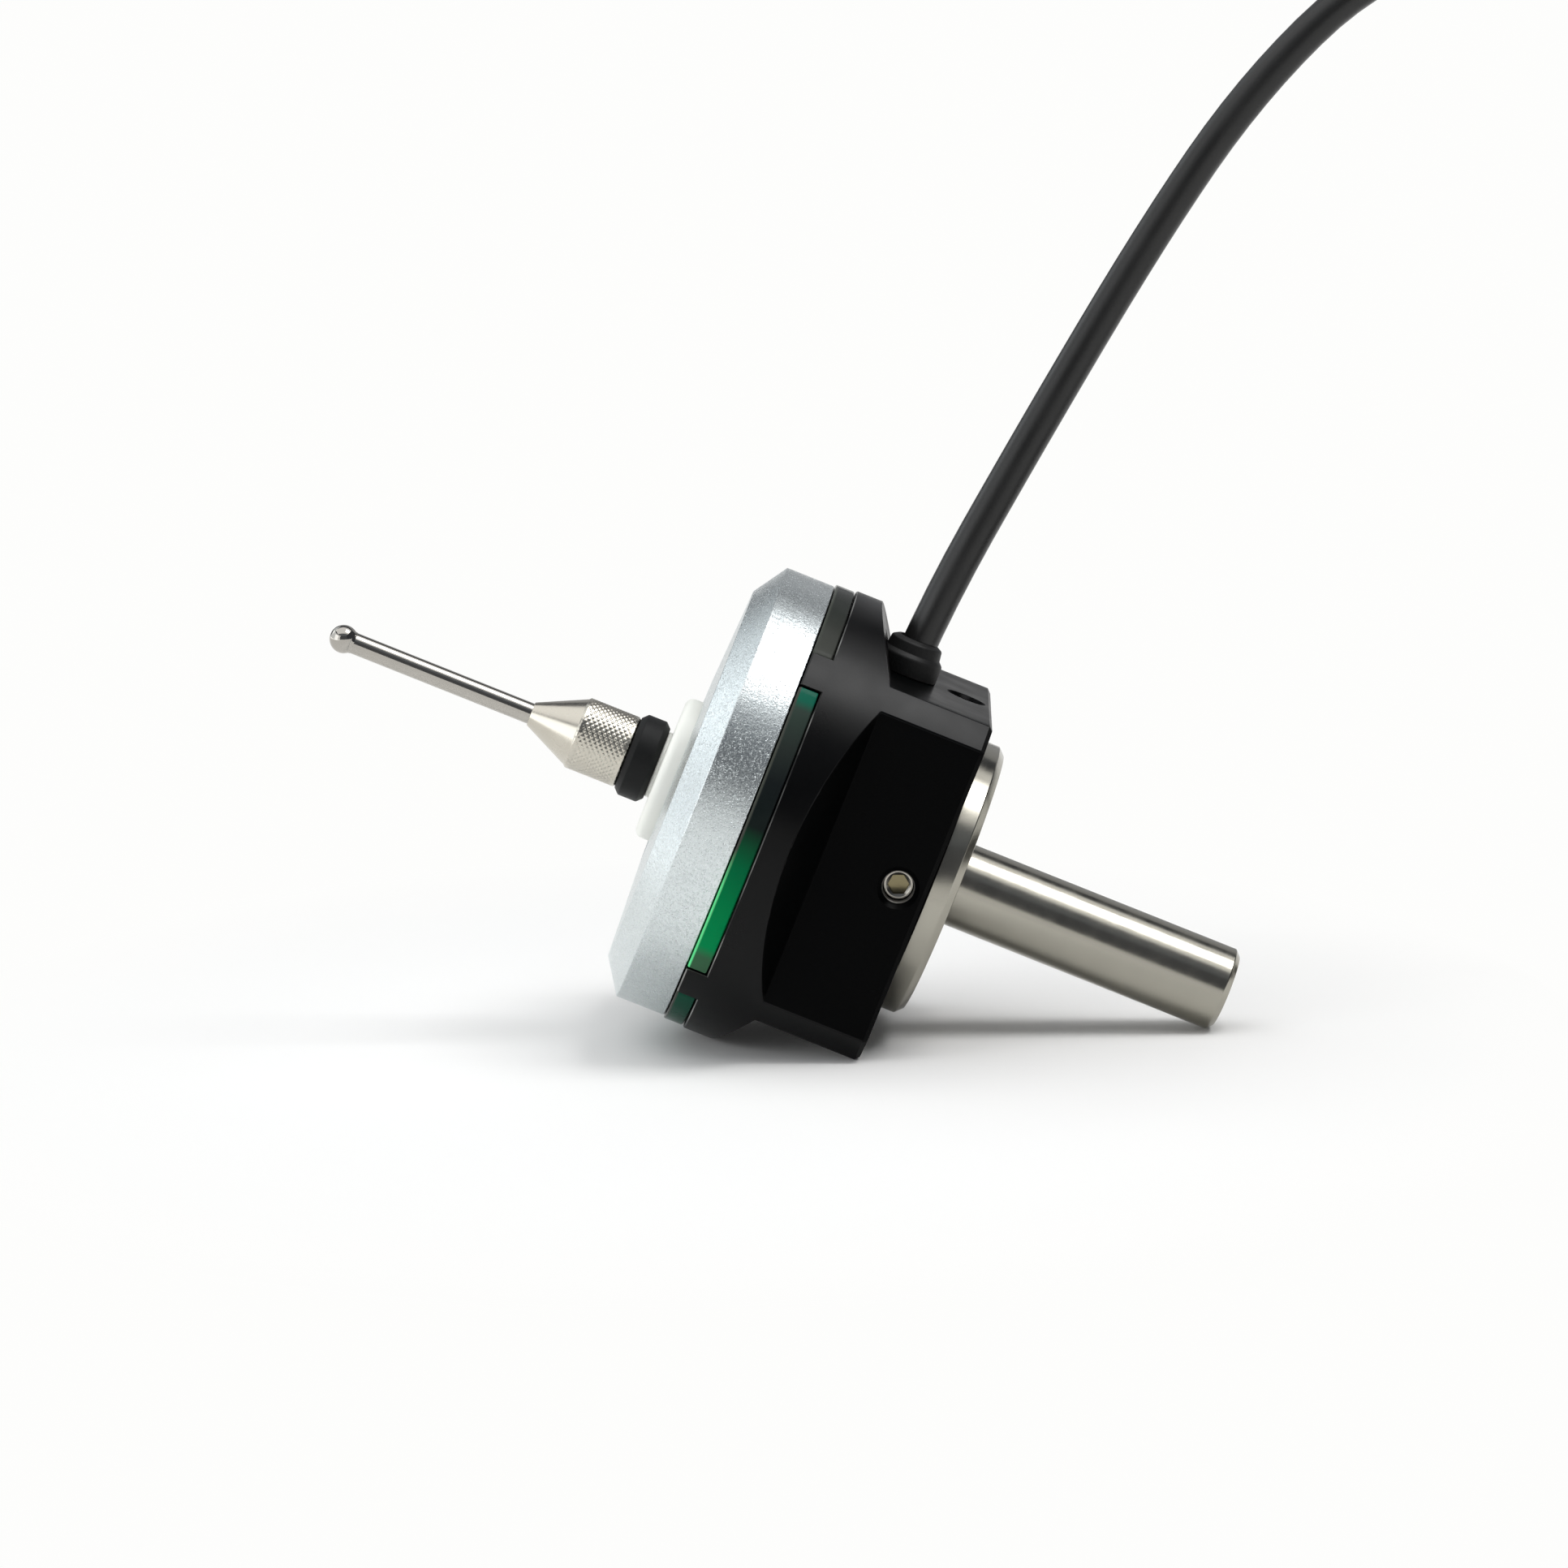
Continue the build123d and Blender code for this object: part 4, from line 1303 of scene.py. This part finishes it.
def bench():
    """Round white table top that rises towards its rim, most at the back, and hides the horizon."""
    table_r = 2000.0
    rise = 180.0
    lean = 0.4
    gap = 0.02
    steps = 12
    profile = [(0, 0), (table_r / 2, 0)]
    for i in range(1, steps + 1):
        share = i / steps
        profile.append((table_r * (1 + share) / 2, rise * share * share))
    skin = Skin()
    lathe(skin, profile, small_steps, closed=False)
    floor = skin.piece("bench")
    for corner in floor.data.vertices:
        reach = math.hypot(corner.co.x, corner.co.y)
        if reach:
            corner.co.z *= 1 + lean * corner.co.y / reach
    floor.data.transform(Matrix.Scale(mm, 4) @ Matrix.Translation((0, 0, -gap)))
    floor.data.flip_normals()
    floor.data.materials.append(floor_finish())
    floor.data.shade_smooth()


def softbox(name, place, target, width, height, radiance, color=(1, 1, 1)):
    """Area lamp at a place in metres that faces a target; radiance is what its face shows."""
    data = bpy.data.lights.new(name, "AREA")
    data.shape = "RECTANGLE"
    data.size = width
    data.size_y = height
    data.energy = math.pi * width * height * radiance
    data.color = color
    lamp = add_object(name, data)
    way = Vector(target) - Vector(place)
    lamp.rotation_euler = way.to_track_quat("-Z", "Y").to_euler()
    lamp.location = place


def lights():
    """Softboxes on all sides but the right, brightest overhead and cooler at the left, and a dim room."""
    softbox("overhead", (-0.03, -0.08, 0.62), (-0.03, -0.08, 0), 1.1, 0.74, 1.2)
    softbox("overhead_core", (0.3, -0.08, 0.6), (0.3, -0.08, 0), 0.32, 0.28, 6.5)
    softbox("above_camera", (0.05, -0.72, 0.62), (0.05, -0.72, 0), 0.9, 0.52, 0.15, (0.86, 0.93, 1.0))
    softbox("before_camera", (0.1, -1.3, 0.38), (0.1, 0, 0.38), 1.4, 0.75, 0.05)
    softbox("left_behind", (-0.5, 0.45, 0.5), (0, 0, 0.03), 0.55, 0.4, 0.9, (0.93, 0.98, 1.0))
    softbox("behind", (0.2, 0.8, 0.42), (0, 0, 0.03), 1.0, 0.5, 0.35)
    softbox("front_left", (-0.62, -0.5, 0.27), (0, 0, 0.03), 0.72, 0.54, 1.05)
    softbox("left", (-0.8, -0.1, 0.32), (0, -0.1, 0.05), 1.5, 0.6, 1.1, (0.95, 0.98, 1.0))
    world = bpy.data.worlds.new("room")
    world.use_nodes = True
    back = world.node_tree.nodes["Background"]
    back.inputs["Color"].default_value = (0.06, 0.064, 0.074, 1)
    back.inputs["Strength"].default_value = 1.0
    bpy.context.scene.world = world


camera()
cable()
main_body()
front_ring()
light_guide()
hub()
lock_nut()
stylus_holder()
stylus()
shank()
set_screws()
gland()
cable_tie()
inner_materials()
bench()
lights()
bpy.context.scene.view_settings.view_transform = "Standard"
